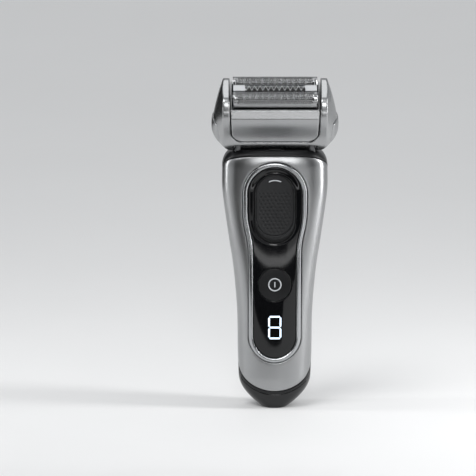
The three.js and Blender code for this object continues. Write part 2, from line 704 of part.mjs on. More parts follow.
// How far the head's side sits inside its widest, against height above the axis.
const sideInset = curveThrough([
  [-9.5, 5.6], [-4.3, 2.2], [1.4, 0], [7, 0], [12, 0.8], [16.7, 1.7], [20, 2.5], [22.5, 3.2],
  [26, 4.7],
]);

function headHalfDepth(z) {
  const deep = HEAD_DEPTH / 2;
  if (z < 0) {
    return Math.sqrt(HUB_RADIUS ** 2 - z ** 2);
  }
  if (z <= DEEPEST) {
    return lerp(HUB_RADIUS, deep, smoothstep(z, 0, DEEPEST));
  }
  const over = clamp((z - DEEPEST) / (EAR_TOP - DEEPEST), 0, 1);
  return lerp(EAR_TOP_DEPTH / 2, deep, Math.sqrt(1 - over ** 2));
}

function headRing(z, grow) {
  const halfX = HEAD_WIDTH / 2 - sideInset(z) + grow;
  const halfY = headHalfDepth(z) + grow;
  const edge = Math.min(HEAD_WIDTH / 2 - EAR_SIDE, halfX - 0.5);
  const steps = 10;
  return [1, -1].flatMap((side) => Array.from({ length: steps + 1 }, (_, i) => {
    const across = -Math.cos((Math.PI * i) / steps);
    const x = edge + (halfX - edge) * (1 - Math.abs(across) ** EAR_BULGE);
    return new THREE.Vector3(side * x, side * across * halfY, z);
  }));
}

function headForm(grow = 0) {
  const under = [78, 62, 45, 28, 12].map((angle) => -HUB_RADIUS * Math.sin(degToRad(angle)));
  const rise = [0, 3, 6, 9, 12, 14.5].filter((z) => z < DEEPEST);
  const crown = [0, 20, 40, 57, 72, 90].map(
    (angle) => DEEPEST + (EAR_TOP - DEEPEST) * Math.sin(degToRad(angle)));
  return loft([...under, ...rise, ...crown].map((z) => headRing(z, grow)));
}

// The bay's outline in X and Z, with rounded lower corners.
function bayOutline(half, bottom, corner) {
  const top = EAR_TOP + 10;
  const shape = new THREE.Shape();
  const low = half - BAY_TAPER;
  shape.moveTo(-half, top);
  shape.lineTo(-half, CASSETTE_TOP);
  shape.lineTo(-low, bottom + corner);
  shape.absarc(-low + corner, bottom + corner, corner, Math.PI, 1.5 * Math.PI, false);
  shape.absarc(low - corner, bottom + corner, corner, 1.5 * Math.PI, 2 * Math.PI, false);
  shape.lineTo(half, CASSETTE_TOP);
  shape.lineTo(half, top);
  shape.closePath();
  return shape;
}

// The space that one yoke arm sweeps inside the head as it rocks.
function armSweep(x0, x1) {
  const half = YOKE_ARM.width / 2 + 0.4;
  const reach = 14;
  const edge = (tilt, side) => {
    const down = new THREE.Vector2(-Math.sin(tilt), -Math.cos(tilt));
    const across = new THREE.Vector2(Math.cos(tilt), -Math.sin(tilt)).multiplyScalar(side * half);
    return [across, across.clone().addScaledVector(down, reach)];
  };
  const back = edge(REST_TILT - ROCK, 1);
  const front = edge(REST_TILT + ROCK, -1);
  const wedge = new THREE.Shape([back[0], front[0], front[1],
    new THREE.Vector2(-Math.sin(REST_TILT) * 18, -Math.cos(REST_TILT) * 18), back[1]]);
  return join(prismX(wedge, x0, x1), rodX(half, x0, x1, 0, 0));
}

function releasePocket(side, clearance) {
  const far = BEYOND;
  const [x0, x1] = side < 0 ? [-far, -RELEASE_POCKET_X] : [RELEASE_POCKET_X, far];
  return box(x0, x1, -RELEASE.halfDepth - clearance, RELEASE.halfDepth + clearance,
    RELEASE.bottom - clearance, RELEASE.top + clearance);
}

function latchBar(side, x0, x1, clearance) {
  const [from, to] = side < 0 ? [-x1, -x0] : [x0, x1];
  return box(from, to, -LATCH.halfDepth - clearance, LATCH.halfDepth + clearance,
    LATCH.bottom - clearance, LATCH.top + clearance);
}

function headFrame() {
  const bay = prismY(bayOutline(BAY_WIDTH / 2, 0, BAY_CORNER), -BEYOND, BEYOND, 8);
  const driveRoom = rodX(HUB_RADIUS - HUB_WALL,
    -DRIVE.halfLength - FIT, DRIVE.halfLength + FIT, 0, 0, 36);
  const slack = 0.4;
  const cuts = [-1, 1].flatMap((side) => {
    const near = YOKE_ARM.inner - slack;
    const far = YOKE_ARM.inner + YOKE_ARM.thickness + slack;
    return [
      side < 0 ? armSweep(-far, -near) : armSweep(near, far),
      releasePocket(side, FIT),
      latchBar(side, BAY_WIDTH / 2 - 1, RELEASE_POCKET_X + 1, FIT),
    ];
  });
  const bore = rodX(PIVOT_DIAMETER / 2 + FIT, -RELEASE_POCKET_X - 0.1, RELEASE_POCKET_X + 0.1, 0, 0);
  return cut(headForm(), bay, driveRoom, bore, ...cuts);
}

function releaseButton(side) {
  const inner = RELEASE_POCKET_X + RELEASE.travel + RELEASE.slack;
  const [x0, x1] = side < 0 ? [-BEYOND, -inner] : [inner, BEYOND];
  const block = box(x0, x1, -RELEASE.halfDepth, RELEASE.halfDepth, RELEASE.bottom, RELEASE.top);
  const face = common(headForm(RELEASE.proud), block);
  return join(face, latchBar(side, inner - LATCH.reach, inner + 1, 0));
}

// ---------------------------------------------------------------- shaving cassette

function cassetteProfile(inset, bottom, top) {
  const heights = [bottom, 3, 6, 9, 12, 14.5, CHAMFER_FROM];
  const side = heights.map((z) => [headHalfDepth(Math.max(z, 0)) - inset, z]);
  side.push([CASSETTE_TOP_DEPTH / 2 - inset, CASSETTE_TOP]);
  if (top > CASSETTE_TOP) {
    side.push([CASSETTE_TOP_DEPTH / 2 - inset, top]);
  }
  const mirrored = side.map(([y, z]) => [-y, z]).reverse();
  return polygon([...side, ...mirrored]);
}

function cassetteFrame() {
  const half = CASSETTE_HALF_LENGTH;
  const body = prismX(cassetteProfile(0, FIT, CASSETTE_TOP), -half, half);
  const outline = prismY(bayOutline(half, FIT, BAY_CORNER - FIT), -BEYOND, BEYOND, 8);
  const inside = half - CASSETTE_END_WALL;
  const hollow = prismX(cassetteProfile(CASSETTE_WALL, -1, CASSETTE_TOP + 1), -inside, inside);
  const notches = [-1, 1].map((side) => latchBar(side, half - BAY_TAPER - 0.3, half + 1, FIT));
  return cut(common(body, outline), hollow, ...notches);
}

// A foil's section: an arc on two straight skirts, as a closed band.
function foilBand(radius, thickness, centre, bottom) {
  const inner = radius - thickness;
  const shape = new THREE.Shape();
  shape.moveTo(radius, bottom);
  shape.lineTo(radius, centre);
  shape.absarc(0, centre, radius, 0, Math.PI, false);
  shape.lineTo(-radius, bottom);
  shape.lineTo(-inner, bottom);
  shape.absarc(0, centre, inner, Math.PI, 0, true);
  shape.lineTo(inner, bottom);
  shape.closePath();
  return shape;
}

function foil(y) {
  const half = FOIL_LENGTH / 2;
  const band = foilBand(FOIL_RADIUS, FOIL_THICKNESS, FOIL_CENTER, FOIL_CENTER - FOIL_SKIRT);
  const skin = prismX(band, -half, half, 12);
  skin.translate(0, y, 0);
  return skin;
}

const CARRIER_HALF_DEPTH = FOIL_RADIUS - FOIL_THICKNESS - FIT;

function foilCarrier(y) {
  const half = FOIL_LENGTH / 2 - FIT;
  const deep = CARRIER_HALF_DEPTH;
  const top = FOIL_CENTER - FOIL_SKIRT + 1;
  const arch = new THREE.Shape();
  arch.moveTo(deep, CARRIER_BOTTOM);
  arch.lineTo(deep, FOIL_CENTER);
  arch.absarc(0, FOIL_CENTER, deep, 0, Math.PI, false);
  arch.lineTo(-deep, CARRIER_BOTTOM);
  arch.closePath();
  const ends = [-half, half - CARRIER_END].map((x) => prismX(arch, x, x + CARRIER_END, 10));
  const rails = [-deep, deep - RAIL_THICKNESS].map(
    (rail) => box(-half + 1, half - 1, rail, rail + RAIL_THICKNESS, CARRIER_BOTTOM, top));
  const carrier = join(...ends, ...rails);
  carrier.translate(0, y, 0);
  return carrier;
}

const CUTTER_HALF_LENGTH = FOIL_LENGTH / 2 - FIT - CARRIER_END - DRIVE_STROKE - 0.2;

function cutterBlock(y) {
  const deep = CARRIER_HALF_DEPTH - RAIL_THICKNESS - CUTTER_SLACK;
  const radius = CARRIER_HALF_DEPTH;
  const barTop = 22;
  const half = CUTTER_HALF_LENGTH;
  const bar = box(-half, half, -deep, deep, CARRIER_BOTTOM, barTop);
  const finShape = new THREE.Shape();
  finShape.moveTo(deep, barTop - 0.5);
  finShape.lineTo(radius, FOIL_CENTER - 1);
  finShape.absarc(0, FOIL_CENTER, radius, 0, Math.PI, false);
  finShape.lineTo(-radius, FOIL_CENTER - 1);
  finShape.lineTo(-deep, barTop - 0.5);
  finShape.closePath();
  const fins = Array.from({ length: FIN.count }, (_, i) => {
    const x = (i - (FIN.count - 1) / 2) * FIN.pitch;
    return prismX(finShape, x - FIN.thickness / 2, x + FIN.thickness / 2, 6);
  });
  const socketTop = DRIVE_PIN.top + FOIL_TRAVEL + FIT;
  const pinSide = Math.sign(y) * (DRIVE_PIN.y - Math.abs(y));
  const reach = DRIVE_PIN.diameter / 2 + FIT;
  const socket = box(-reach, reach, pinSide - reach, pinSide + reach, 0, socketTop);
  const block = cut(join(bar, ...fins), socket);
  block.translate(0, y, 0);
  return block;
}

function centreTrimmer() {
  const half = FOIL_LENGTH / 2 - 0.1;
  const deep = TRIMMER_HALF_DEPTH;
  const bottom = FOIL_CENTER - FOIL_SKIRT;
  const sheet = TRIMMER_SHEET;
  const outer = box(-half, half, -deep, deep, bottom, TRIMMER_TOP);
  const inner = box(-half - 1, half + 1, -deep + sheet, deep - sheet,
    bottom - 1, TRIMMER_TOP - sheet);
  const gaps = Array.from({ length: TOOTH.count }, (_, i) => {
    const x = (i - (TOOTH.count - 1) / 2) * TOOTH.pitch;
    return box(x - TOOTH.gap / 2, x + TOOTH.gap / 2, -deep - 1, deep + 1,
      TRIMMER_TOP - 1.6, TRIMMER_TOP + 1);
  });
  const spine = box(-half, half, -0.3, 0.3, TRIMMER_TOP - sheet, TRIMMER_TOP);
  return join(cut(outer, inner, ...gaps), spine);
}

function trimBlade() {
  const half = CUTTER_HALF_LENGTH - 0.6;
  const deep = TRIMMER_HALF_DEPTH - TRIMMER_SHEET - FIT;
  const top = TRIMMER_TOP - TRIMMER_SHEET - FIT;
  const bar = box(-half, half, -deep, deep, CARRIER_BOTTOM, top);
  const reach = DRIVE_PIN.diameter / 2 + FIT;
  const slot = box(-reach, reach, -deep - 1, deep + 1, 0, DRIVE_PIN.top + FOIL_TRAVEL + FIT);
  const gaps = Array.from({ length: 12 }, (_, i) => {
    const x = (i - 5.5) * TOOTH.pitch * 2;
    return box(x - 0.6, x + 0.6, -deep - 1, deep + 1, top - 1.4, top + 1);
  });
  return cut(bar, slot, ...gaps);
}

// ---------------------------------------------------------------- drive

// The drive housing's section: a wide upper box on a narrow keel that fits the round hub.
function driveProfile(inset, top) {
  const wide = DRIVE.halfDepth - inset;
  const narrow = DRIVE_LOWER_HALF_DEPTH - inset;
  const waist = DRIVE.waist + inset;
  const bottom = DRIVE.bottom + inset;
  return polygon([[wide, waist], [wide, top], [-wide, top], [-wide, waist],
    [-narrow, waist], [-narrow, bottom], [narrow, bottom], [narrow, waist]]);
}

function driveHousing() {
  const half = DRIVE.halfLength;
  const inside = half - DRIVE.wall;
  return cut(prismX(driveProfile(0, DRIVE.top), -half, half),
    prismX(driveProfile(DRIVE.wall, DRIVE.top + 1), -inside, inside));
}

function driveCover() {
  const bottom = DRIVE.top + FIT;
  const half = DRIVE.halfLength;
  const sheet = box(-half, half, -DRIVE.halfDepth, DRIVE.halfDepth,
    bottom, bottom + DRIVE_COVER_THICKNESS);
  const reach = DRIVE_PIN.diameter / 2 + FIT;
  const slots = [-DRIVE_PIN.y, 0, DRIVE_PIN.y].map((y) => box(-reach - DRIVE_STROKE,
    reach + DRIVE_STROKE, y - reach, y + reach, bottom - 1, bottom + 2));
  return cut(sheet, ...slots);
}

const STATOR = { halfLength: 9, halfDepth: 3.1, bottom: -4.8, yokeTop: -2.6, top: 3.4 };

function motorStator() {
  const yoke = box(-STATOR.halfLength, STATOR.halfLength, -STATOR.halfDepth, STATOR.halfDepth,
    STATOR.bottom, STATOR.yokeTop);
  const legs = [[-STATOR.halfLength, -6.8], [-2, 2], [6.8, STATOR.halfLength]].map(
    ([x0, x1]) => box(x0, x1, -STATOR.halfDepth, STATOR.halfDepth,
      STATOR.yokeTop - 0.5, STATOR.top));
  return join(yoke, ...legs);
}

function motorCoil() {
  const winding = box(-6.2, 6.2, -5.6, 5.6, -0.4, 3.2);
  return cut(winding, box(-2.3, 2.3, -STATOR.halfDepth - FIT, STATOR.halfDepth + FIT, -2, 5));
}

function drivePin(y) {
  return rodZ(DRIVE_PIN.diameter / 2, BRIDGE.top - 0.5, DRIVE_PIN.top, 0, y, 16);
}

function outerBridge() {
  const ring = box(-BRIDGE.halfLength, BRIDGE.halfLength, -BRIDGE.outer, BRIDGE.outer,
    BRIDGE.bottom, BRIDGE.top);
  const inside = BRIDGE.halfLength - BRIDGE.end;
  const opening = box(-inside, inside, -BRIDGE.inner, BRIDGE.inner,
    BRIDGE.bottom - 1, BRIDGE.top + 1);
  return join(cut(ring, opening), drivePin(-DRIVE_PIN.y), drivePin(DRIVE_PIN.y));
}

function innerBridge() {
  const bar = box(-BRIDGE_INNER.halfLength, BRIDGE_INNER.halfLength,
    -BRIDGE_INNER.halfDepth, BRIDGE_INNER.halfDepth, BRIDGE.bottom, BRIDGE.top);
  return join(bar, drivePin(0));
}

function magnet(halfLength, y0, y1) {
  return box(-halfLength, halfLength, y0, y1, MAGNET.bottom, BRIDGE.bottom - FIT);
}

function leafSpring(side) {
  const x = side < 0 ? -LEAF.x - LEAF.thickness : LEAF.x;
  return box(x, x + LEAF.thickness, -LEAF.halfDepth, LEAF.halfDepth,
    DRIVE.waist + DRIVE.wall + FIT, BRIDGE.top);
}

// ---------------------------------------------------------------- long-hair trimmer

function hairTrimmerSlide() {
  const half = RECESS.halfWidth - FIT;
  const block = box(-half, half, RECESS_FLOOR + FIT, BEYOND, TRIMMER_SLIDE_BOTTOM, TRIMMER_SLIDE_TOP);
  const body = common(handleForm(0.2), block);
  const ridges = Array.from({ length: 4 }, (_, i) => {
    const z = TRIMMER_SLIDE_BOTTOM + 6 + i * 3;
    const back = handleSize(z).back;
    return box(-7, 7, back - 1.2, back + 0.4, z, z + 1.2);
  });
  return join(body, ...ridges);
}

// A toothed plate in X and Z: a straight edge below, teeth along the top.
function toothedPlate(halfWidth, bottom, top, root, teeth, y0, y1) {
  const pitch = (2 * halfWidth) / (teeth * 2 - 1);
  const points = [[-halfWidth, bottom], [halfWidth, bottom]];
  for (let i = 0; i < teeth; i += 1) {
    const right = halfWidth - i * 2 * pitch;
    points.push([right, top], [right - pitch, top]);
    if (i < teeth - 1) {
      points.push([right - pitch, root], [right - 2 * pitch, root]);
    }
  }
  return prismY(polygon(points), y0, y1);
}

const BLADE_BOTTOM = TRIMMER_SLIDE_TOP + FIT;

function hairTrimmerComb() {
  return toothedPlate(HAIR_TRIMMER.halfWidth, BLADE_BOTTOM, BLADE_TOP,
    BLADE_TOP - 2.6, HAIR_TRIMMER.teeth, RECESS_FLOOR + 1.6, RECESS_FLOOR + 2.6);
}

function hairTrimmerCutter() {
  return toothedPlate(HAIR_TRIMMER.halfWidth - DRIVE_STROKE, BLADE_BOTTOM,
    BLADE_TOP - 0.4, BLADE_TOP - 2.6, HAIR_TRIMMER.teeth - 2,
    RECESS_FLOOR + 0.5, RECESS_FLOOR + 1.3);
}

// ---------------------------------------------------------------- materials

const material = (color, roughness, metalness) => new THREE.MeshStandardMaterial(
  { color, roughness, metalness });

const silver = material('#a9abae', 0.34, 0.9);
const bright = material('#d3d5d8', 0.2, 1);
const steel = material('#b9bcc0', 0.28, 1);
const glossBlack = material('#0d0e10', 0.12, 0);
const satinBlack = material('#17181a', 0.45, 0);
const softBlack = material('#1c1d1f', 0.8, 0);
const innerGrey = material('#54585c', 0.6, 0);
const boardGreen = material('#1f5a35', 0.55, 0);
const cellBlue = material('#2f5f8f', 0.4, 0.1);
const copper = material('#b5693c', 0.4, 0.8);
const brass = material('#c9a45a', 0.3, 1);
const amber = material('#b87a2a', 0.5, 0);

// ---------------------------------------------------------------- assembly

const shaver = new THREE.Group();
const head = new THREE.Group();
head.position.set(0, PIVOT_Y, PIVOT_Z);
head.rotation.x = REST_TILT;
shaver.add(head);

function place(group, name, geometry, finish) {
  const mesh = new THREE.Mesh(geometry, finish);
  mesh.name = name;
  group.add(mesh);
}

const sides = [['left', -1], ['right', 1]];
const ends = [['front', -1], ['back', 1]];

place(shaver, 'front_cover', frontCover(), silver);
place(shaver, 'inlay_bezel', inlayBezel(), bright);
place(shaver, 'inlay_panel', inlayPanel(), glossBlack);
place(shaver, 'rear_shell', rearShell(), satinBlack);
place(shaver, 'rear_grip', rearGrip(), softBlack);
place(shaver, 'bottom_cap', bottomCap(), satinBlack);
place(shaver, 'housing_seal', housingSeal(), softBlack);
place(shaver, 'neck_collar', neckCollar(), satinBlack);
place(shaver, 'neck_yoke', neckYoke(), steel);
place(shaver, 'chassis', chassis(), innerGrey);
place(shaver, 'battery_cell', batteryCell(), cellBlue);
place(shaver, 'battery_tab_top', batteryTab(CELL_BOTTOM + CELL_LENGTH + FIT), bright);
place(shaver, 'battery_tab_bottom', batteryTab(CELL_BOTTOM - FIT - 0.5), bright);
place(shaver, 'main_board', mainBoard(), boardGreen);
place(shaver, 'display_module', displayModule(), glossBlack);
place(shaver, 'power_switch', powerSwitch(), innerGrey);
place(shaver, 'drive_ribbon', driveRibbon(), amber);
place(shaver, 'charging_socket', chargingSocket(), satinBlack);
place(shaver, 'power_button', powerButton(), satinBlack);
place(shaver, 'lock_slider', lockSlider(), satinBlack);
place(shaver, 'thumb_pad', thumbPad(), softBlack);
place(shaver, 'lock_bar', lockBar(), steel);
place(shaver, 'hair_trimmer_slide', hairTrimmerSlide(), satinBlack);
place(shaver, 'hair_trimmer_comb', hairTrimmerComb(), steel);
place(shaver, 'hair_trimmer_cutter', hairTrimmerCutter(), steel);
for (const [name, side] of sides) {
  place(shaver, `socket_pin_${name}`, socketPin(side), brass);
  place(shaver, `station_contact_${name}`, stationContact(side), brass);
  place(shaver, `yoke_screw_${name}`, yokeScrew(side), steel);
  place(head, `pivot_pin_${name}`, pivotPin(side), steel);
  place(head, `release_button_${name}`, releaseButton(side), silver);
  place(head, `leaf_spring_${name}`, leafSpring(side), steel);
}
place(head, 'head_frame', headFrame(), silver);
place(head, 'drive_housing', driveHousing(), innerGrey);
place(head, 'drive_cover', driveCover(), softBlack);
place(head, 'motor_stator', motorStator(), steel);
place(head, 'motor_coil', motorCoil(), copper);
place(head, 'drive_bridge_outer', outerBridge(), innerGrey);
place(head, 'drive_bridge_inner', innerBridge(), innerGrey);
place(head, 'magnet_inner', magnet(MAGNET.innerHalfLength, -BRIDGE_INNER.halfDepth + FIT,
  BRIDGE_INNER.halfDepth - FIT), steel);
place(head, 'magnet_front', magnet(MAGNET.outerHalfLength, -BRIDGE.outer + FIT,
  -BRIDGE.inner - FIT), steel);
place(head, 'magnet_back', magnet(MAGNET.outerHalfLength, BRIDGE.inner + FIT,
  BRIDGE.outer - FIT), steel);
place(head, 'cassette_frame', cassetteFrame(), silver);
for (const [name, side] of ends) {
  place(head, `foil_${name}`, foil(side * FOIL_Y), bright);
  place(head, `foil_carrier_${name}`, foilCarrier(side * FOIL_Y), satinBlack);
  place(head, `cutter_${name}`, cutterBlock(side * FOIL_Y), steel);
}
place(head, 'centre_trimmer', centreTrimmer(), bright);
place(head, 'trim_blade', trimBlade(), steel);

export default shaver;
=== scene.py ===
"""Looks for the cordless foil shaver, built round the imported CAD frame.

Lengths are in millimetres until a mesh is made, and +Z is up with the front facing -Y, as in
the frame. The handle's skins are laid on its own smooth form: an outline drawn in arc length and
height is filled with triangles, given rounded edges and a back, and wrapped on. Cast pieces are
joined and cut as solids, and their edges are then rounded by a fine remesh.
"""

import math

import bmesh
import bpy
import numpy as np
from mathutils import Matrix, Vector
from mathutils.bvhtree import BVHTree
from mathutils.geometry import delaunay_2d_cdt


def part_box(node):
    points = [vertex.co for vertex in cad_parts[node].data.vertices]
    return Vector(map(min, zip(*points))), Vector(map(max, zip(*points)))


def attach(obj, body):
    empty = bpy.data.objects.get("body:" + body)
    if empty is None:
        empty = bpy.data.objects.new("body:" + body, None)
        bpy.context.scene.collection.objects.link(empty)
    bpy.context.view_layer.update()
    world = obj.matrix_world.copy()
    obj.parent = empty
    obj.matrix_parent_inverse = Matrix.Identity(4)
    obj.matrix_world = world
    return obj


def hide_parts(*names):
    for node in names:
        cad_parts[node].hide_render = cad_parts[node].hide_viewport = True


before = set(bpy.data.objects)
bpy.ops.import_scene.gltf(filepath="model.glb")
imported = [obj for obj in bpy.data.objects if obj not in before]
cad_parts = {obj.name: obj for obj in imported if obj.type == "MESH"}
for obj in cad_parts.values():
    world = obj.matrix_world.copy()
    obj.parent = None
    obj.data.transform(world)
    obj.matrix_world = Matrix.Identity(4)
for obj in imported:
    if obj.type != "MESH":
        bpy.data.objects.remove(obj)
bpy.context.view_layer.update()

MM = 0.001


def low(node):
    """Lowest corner of a CAD node, in millimetres."""
    return np.array(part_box(node)[0]) / MM


def high(node):
    """Highest corner of a CAD node, in millimetres."""
    return np.array(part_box(node)[1]) / MM


# -------- sizes, in millimetres

GAP = 0.3  # between neighbouring pieces
WALL = 1.6
FAR = 60.0  # past everything, for cutters
FRONT_PITCH = 0.6  # of the points on the front's finer outlines

HEIGHT = high("neck_collar")[2]
SHOULDER_HALF = 25.7
WAIST_HALF = 18.1
WAIST_DEPTH = (12.5, 13.0)  # in front of and behind the middle plane
SHOULDER_DEPTH = (14.0, 16.3)
BASE_HALF = 6.2
BASE_DEPTH = 8.0
BASE_ROUND = 16.0
SHOULDER_RADIUS = 9.0
SHOULDER_Z = HEIGHT - SHOULDER_RADIUS
SQUARENESS = (2.0, 3.8)  # of the section at the bottom and at the shoulders

COVER_LOW = (-12.0, 8.6, 1.17)  # slanted partings: y, z and slope
COVER_HIGH = (-14.0, HEIGHT - 2.0, -0.7)
CAP_HIGH = (-12.0, 5.9, 1.17)

INLAY_HALF = 13.4
INLAY_NARROW = 10.65
INLAY_LOW = 25.7
INLAY_HIGH = 120.4
INLAY_TAPER = (76.2, 100.2)
BEZEL_WIDTH = 2.2
BEZEL_PROUD = 0.3
PANEL_DEPTH = 0.4  # of the inlay below the cover's surface
SLIDER_HALF = 9.6
SLIDER_Z = (84.8, 116.8)
SLIDER_TRAVEL = 1.6
PAD_HALF = 9.1
PAD_Z = (86.7, 116.4)
BUTTON_RADIUS = 8.05
BUTTON_Z = 62.3
DISPLAY_Z = 41.0
GRIP_HALF = 12.0
GRIP_Z = (26.0, 70.0)
RECESS_HALF = 11.3
RECESS_FLOOR = 11.2
RECESS_Z = 74.0
SLIDE_Z = (77.0, 110.0)
TRAY_WALL = 1.5  # round the trimmer's recess

PIVOT = (-4.45, 137.0)  # y and z of the rocking axis
TILT = math.radians(30)
ROCK = math.radians(20)
HUB_RADIUS = 9.4  # of the head's round underside
HUB_ROOM = 0.45  # between it and the collar
HUB_WALL = 1.3
ARM_WIDTH = 3.0  # of the yoke's arms and base
HEAD_HALF = 30.4
EAR_EDGE = 25.2  # where the ears' sides start, and how far it comes in below
EAR_EDGE_PULL = 2.6
EAR_TOP = 26.0
DEEPEST = 17.0  # height above the axis at which the head is deepest
HEAD_HALF_DEPTH = 13.0
EAR_TOP_HALF_DEPTH = 6.5
BAY_HALF = 22.0
BAY_TAPER = 0.7
BAY_CORNER = 6.0
CASSETTE_TOP = 21.4
CASSETTE_TOP_HALF_DEPTH = 11.5
CHAMFER_FROM = 17.3
FOIL_RADIUS = 3.35
FOIL_CENTRE = 24.35
FOIL_PITCH_HALF = 6.0
FOIL_SKIRT = 4.75
FOIL_HALF = 20.4
RELEASE_HALF_DEPTH = 6.5
RELEASE_HEIGHTS = (-2.0, 9.0)
RELEASE_PROUD = 0.4
TRIMMER_TOP = 26.5
TRIMMER_HALF_DEPTH = 2.2


# -------- curves

def curve_through(stations):
    """A smooth curve through (x, y) stations, level beyond the ends."""
    xs, ys = np.array(stations, float).T
    before = np.r_[0, np.arange(len(xs) - 1)]
    after = np.r_[np.arange(1, len(xs)), len(xs) - 1]
    slopes = (ys[after] - ys[before]) / (xs[after] - xs[before])

    def curve(x):
        at = np.clip(x, xs[0], xs[-1])
        i = np.clip(np.searchsorted(xs, at, side="right") - 1, 0, len(xs) - 2)
        span = xs[i + 1] - xs[i]
        t = (at - xs[i]) / span
        level = ys[i] * (1 + 2 * t) * (1 - t) ** 2 + ys[i + 1] * t**2 * (3 - 2 * t)
        return level + span * t * (1 - t) * (slopes[i] * (1 - t) - slopes[i + 1] * t)

    return curve


def smoothstep(x, start, end):
    """Rises smoothly from 0 at start to 1 at end."""
    t = np.clip((x - start) / (end - start), 0, 1)
    return t * t * (3 - 2 * t)


def lerp(a, b, t):
    return a + (b - a) * t


def arc(centre, radius, start, end, pitch):
    """Points on an arc, without its last one."""
    count = max(4, round(abs(end - start) * radius / pitch))
    turn = np.linspace(start, end, count, endpoint=False)
    return np.c_[centre[0] + radius * np.cos(turn), centre[1] + radius * np.sin(turn)]


def line(a, b, pitch):
    """Points on a straight line, without its last one."""
    a, b = np.array(a, float), np.array(b, float)
    count = max(1, round(np.linalg.norm(b - a) / pitch))
    return a + (b - a) * np.linspace(0, 1, count, endpoint=False)[:, None]


def polygon(corners, pitch):
    """Points along a closed polygon."""
    return np.vstack([line(a, b, pitch) for a, b in zip(corners, [*corners[1:], corners[0]])])


def bezier(a, b, c, d, pitch):
    """Points on a cubic curve, without its last one."""
    a, b, c, d = (np.array(p, float) for p in (a, b, c, d))
    count = max(2, round(np.linalg.norm(d - a) / pitch))
    t = np.linspace(0, 1, count, endpoint=False)[:, None]
    return a * (1 - t) ** 3 + 3 * b * t * (1 - t) ** 2 + 3 * c * t**2 * (1 - t) + d * t**3


def stadium(half, bottom, top, pitch):
    """An upright slot shape round x = 0, counter-clockwise."""
    return np.vstack([
        arc((0, top - half), half, 0, math.pi, pitch),
        line((-half, top - half), (-half, bottom + half), pitch),
        arc((0, bottom + half), half, math.pi, 2 * math.pi, pitch),
        line((half, bottom + half), (half, top - half), pitch),
    ])


def rounded_box(x0, x1, z0, z1, radius, pitch):
    """A rectangle with round corners, from its upper right one."""
    left, right, lower, upper = x0 + radius, x1 - radius, z0 + radius, z1 - radius
    centres = np.array([(right, upper), (left, upper), (left, lower), (right, lower)])
    points = []
    for i, centre in enumerate(centres):
        start, end = i * math.pi / 2, (i + 1) * math.pi / 2
        reach = radius * np.array([math.cos(end), math.sin(end)])
        points.append(arc(centre, radius, start, end, pitch))
        points.append(line(centre + reach, centres[(i + 1) % 4] + reach, pitch))
    return np.vstack(points)


def keyhole(grow, pitch=0.8):
    """The inlay's outline in x and z, grown outwards."""
    wide, narrow = INLAY_HALF + grow, INLAY_NARROW + grow
    upper, lower = INLAY_HIGH - INLAY_HALF, INLAY_LOW + INLAY_NARROW
    taper_low, taper_high = INLAY_TAPER
    pull = (taper_high - taper_low) / 2
    left = [
        line((-wide, upper), (-wide, taper_high), pitch),
        bezier((-wide, taper_high), (-wide, taper_high - pull), (-narrow, taper_low + pull),
               (-narrow, taper_low), pitch),
        line((-narrow, taper_low), (-narrow, lower), pitch),
    ]
    right = [
        line((narrow, lower), (narrow, taper_low), pitch),
        bezier((narrow, taper_low), (narrow, taper_low + pull), (wide, taper_high - pull),
               (wide, taper_high), pitch),
        line((wide, taper_high), (wide, upper), pitch),
    ]
    return np.vstack([arc((0, upper), wide, 0, math.pi, pitch), *left,
                      arc((0, lower), narrow, math.pi, 2 * math.pi, pitch), *right])


# -------- the handle's form

flare = curve_through([
    (0.12, -0.06), (0.23, 0), (0.36, 0.03), (0.47, 0.16), (0.56, 0.32),
    (0.64, 0.53), (0.78, 0.87), (0.85, 1), (0.93, 1),
])


def handle_size(z):
    """Half width, depth in front and behind, and the section's power, at a height."""
    swell = 1 - (1 - np.clip(z / BASE_ROUND, 0, 1)) ** 2
    share = z / HEIGHT
    over = np.clip((z - SHOULDER_Z) / SHOULDER_RADIUS, 0, 1)
    drop = SHOULDER_RADIUS * (1 - np.sqrt(1 - over**2))
    deepen = smoothstep(share, 0.12, 0.8)
    half = lerp(BASE_HALF, lerp(WAIST_HALF, SHOULDER_HALF, flare(share)), swell) - drop
    front, back = (
        lerp(BASE_DEPTH, lerp(waist, shoulder, deepen), swell) - 0.45 * drop
        for waist, shoulder in zip(WAIST_DEPTH, SHOULDER_DEPTH)
    )
    power = 2 / lerp(*SQUARENESS, smoothstep(share, 0.1, 0.85))
    return half, front, back, power


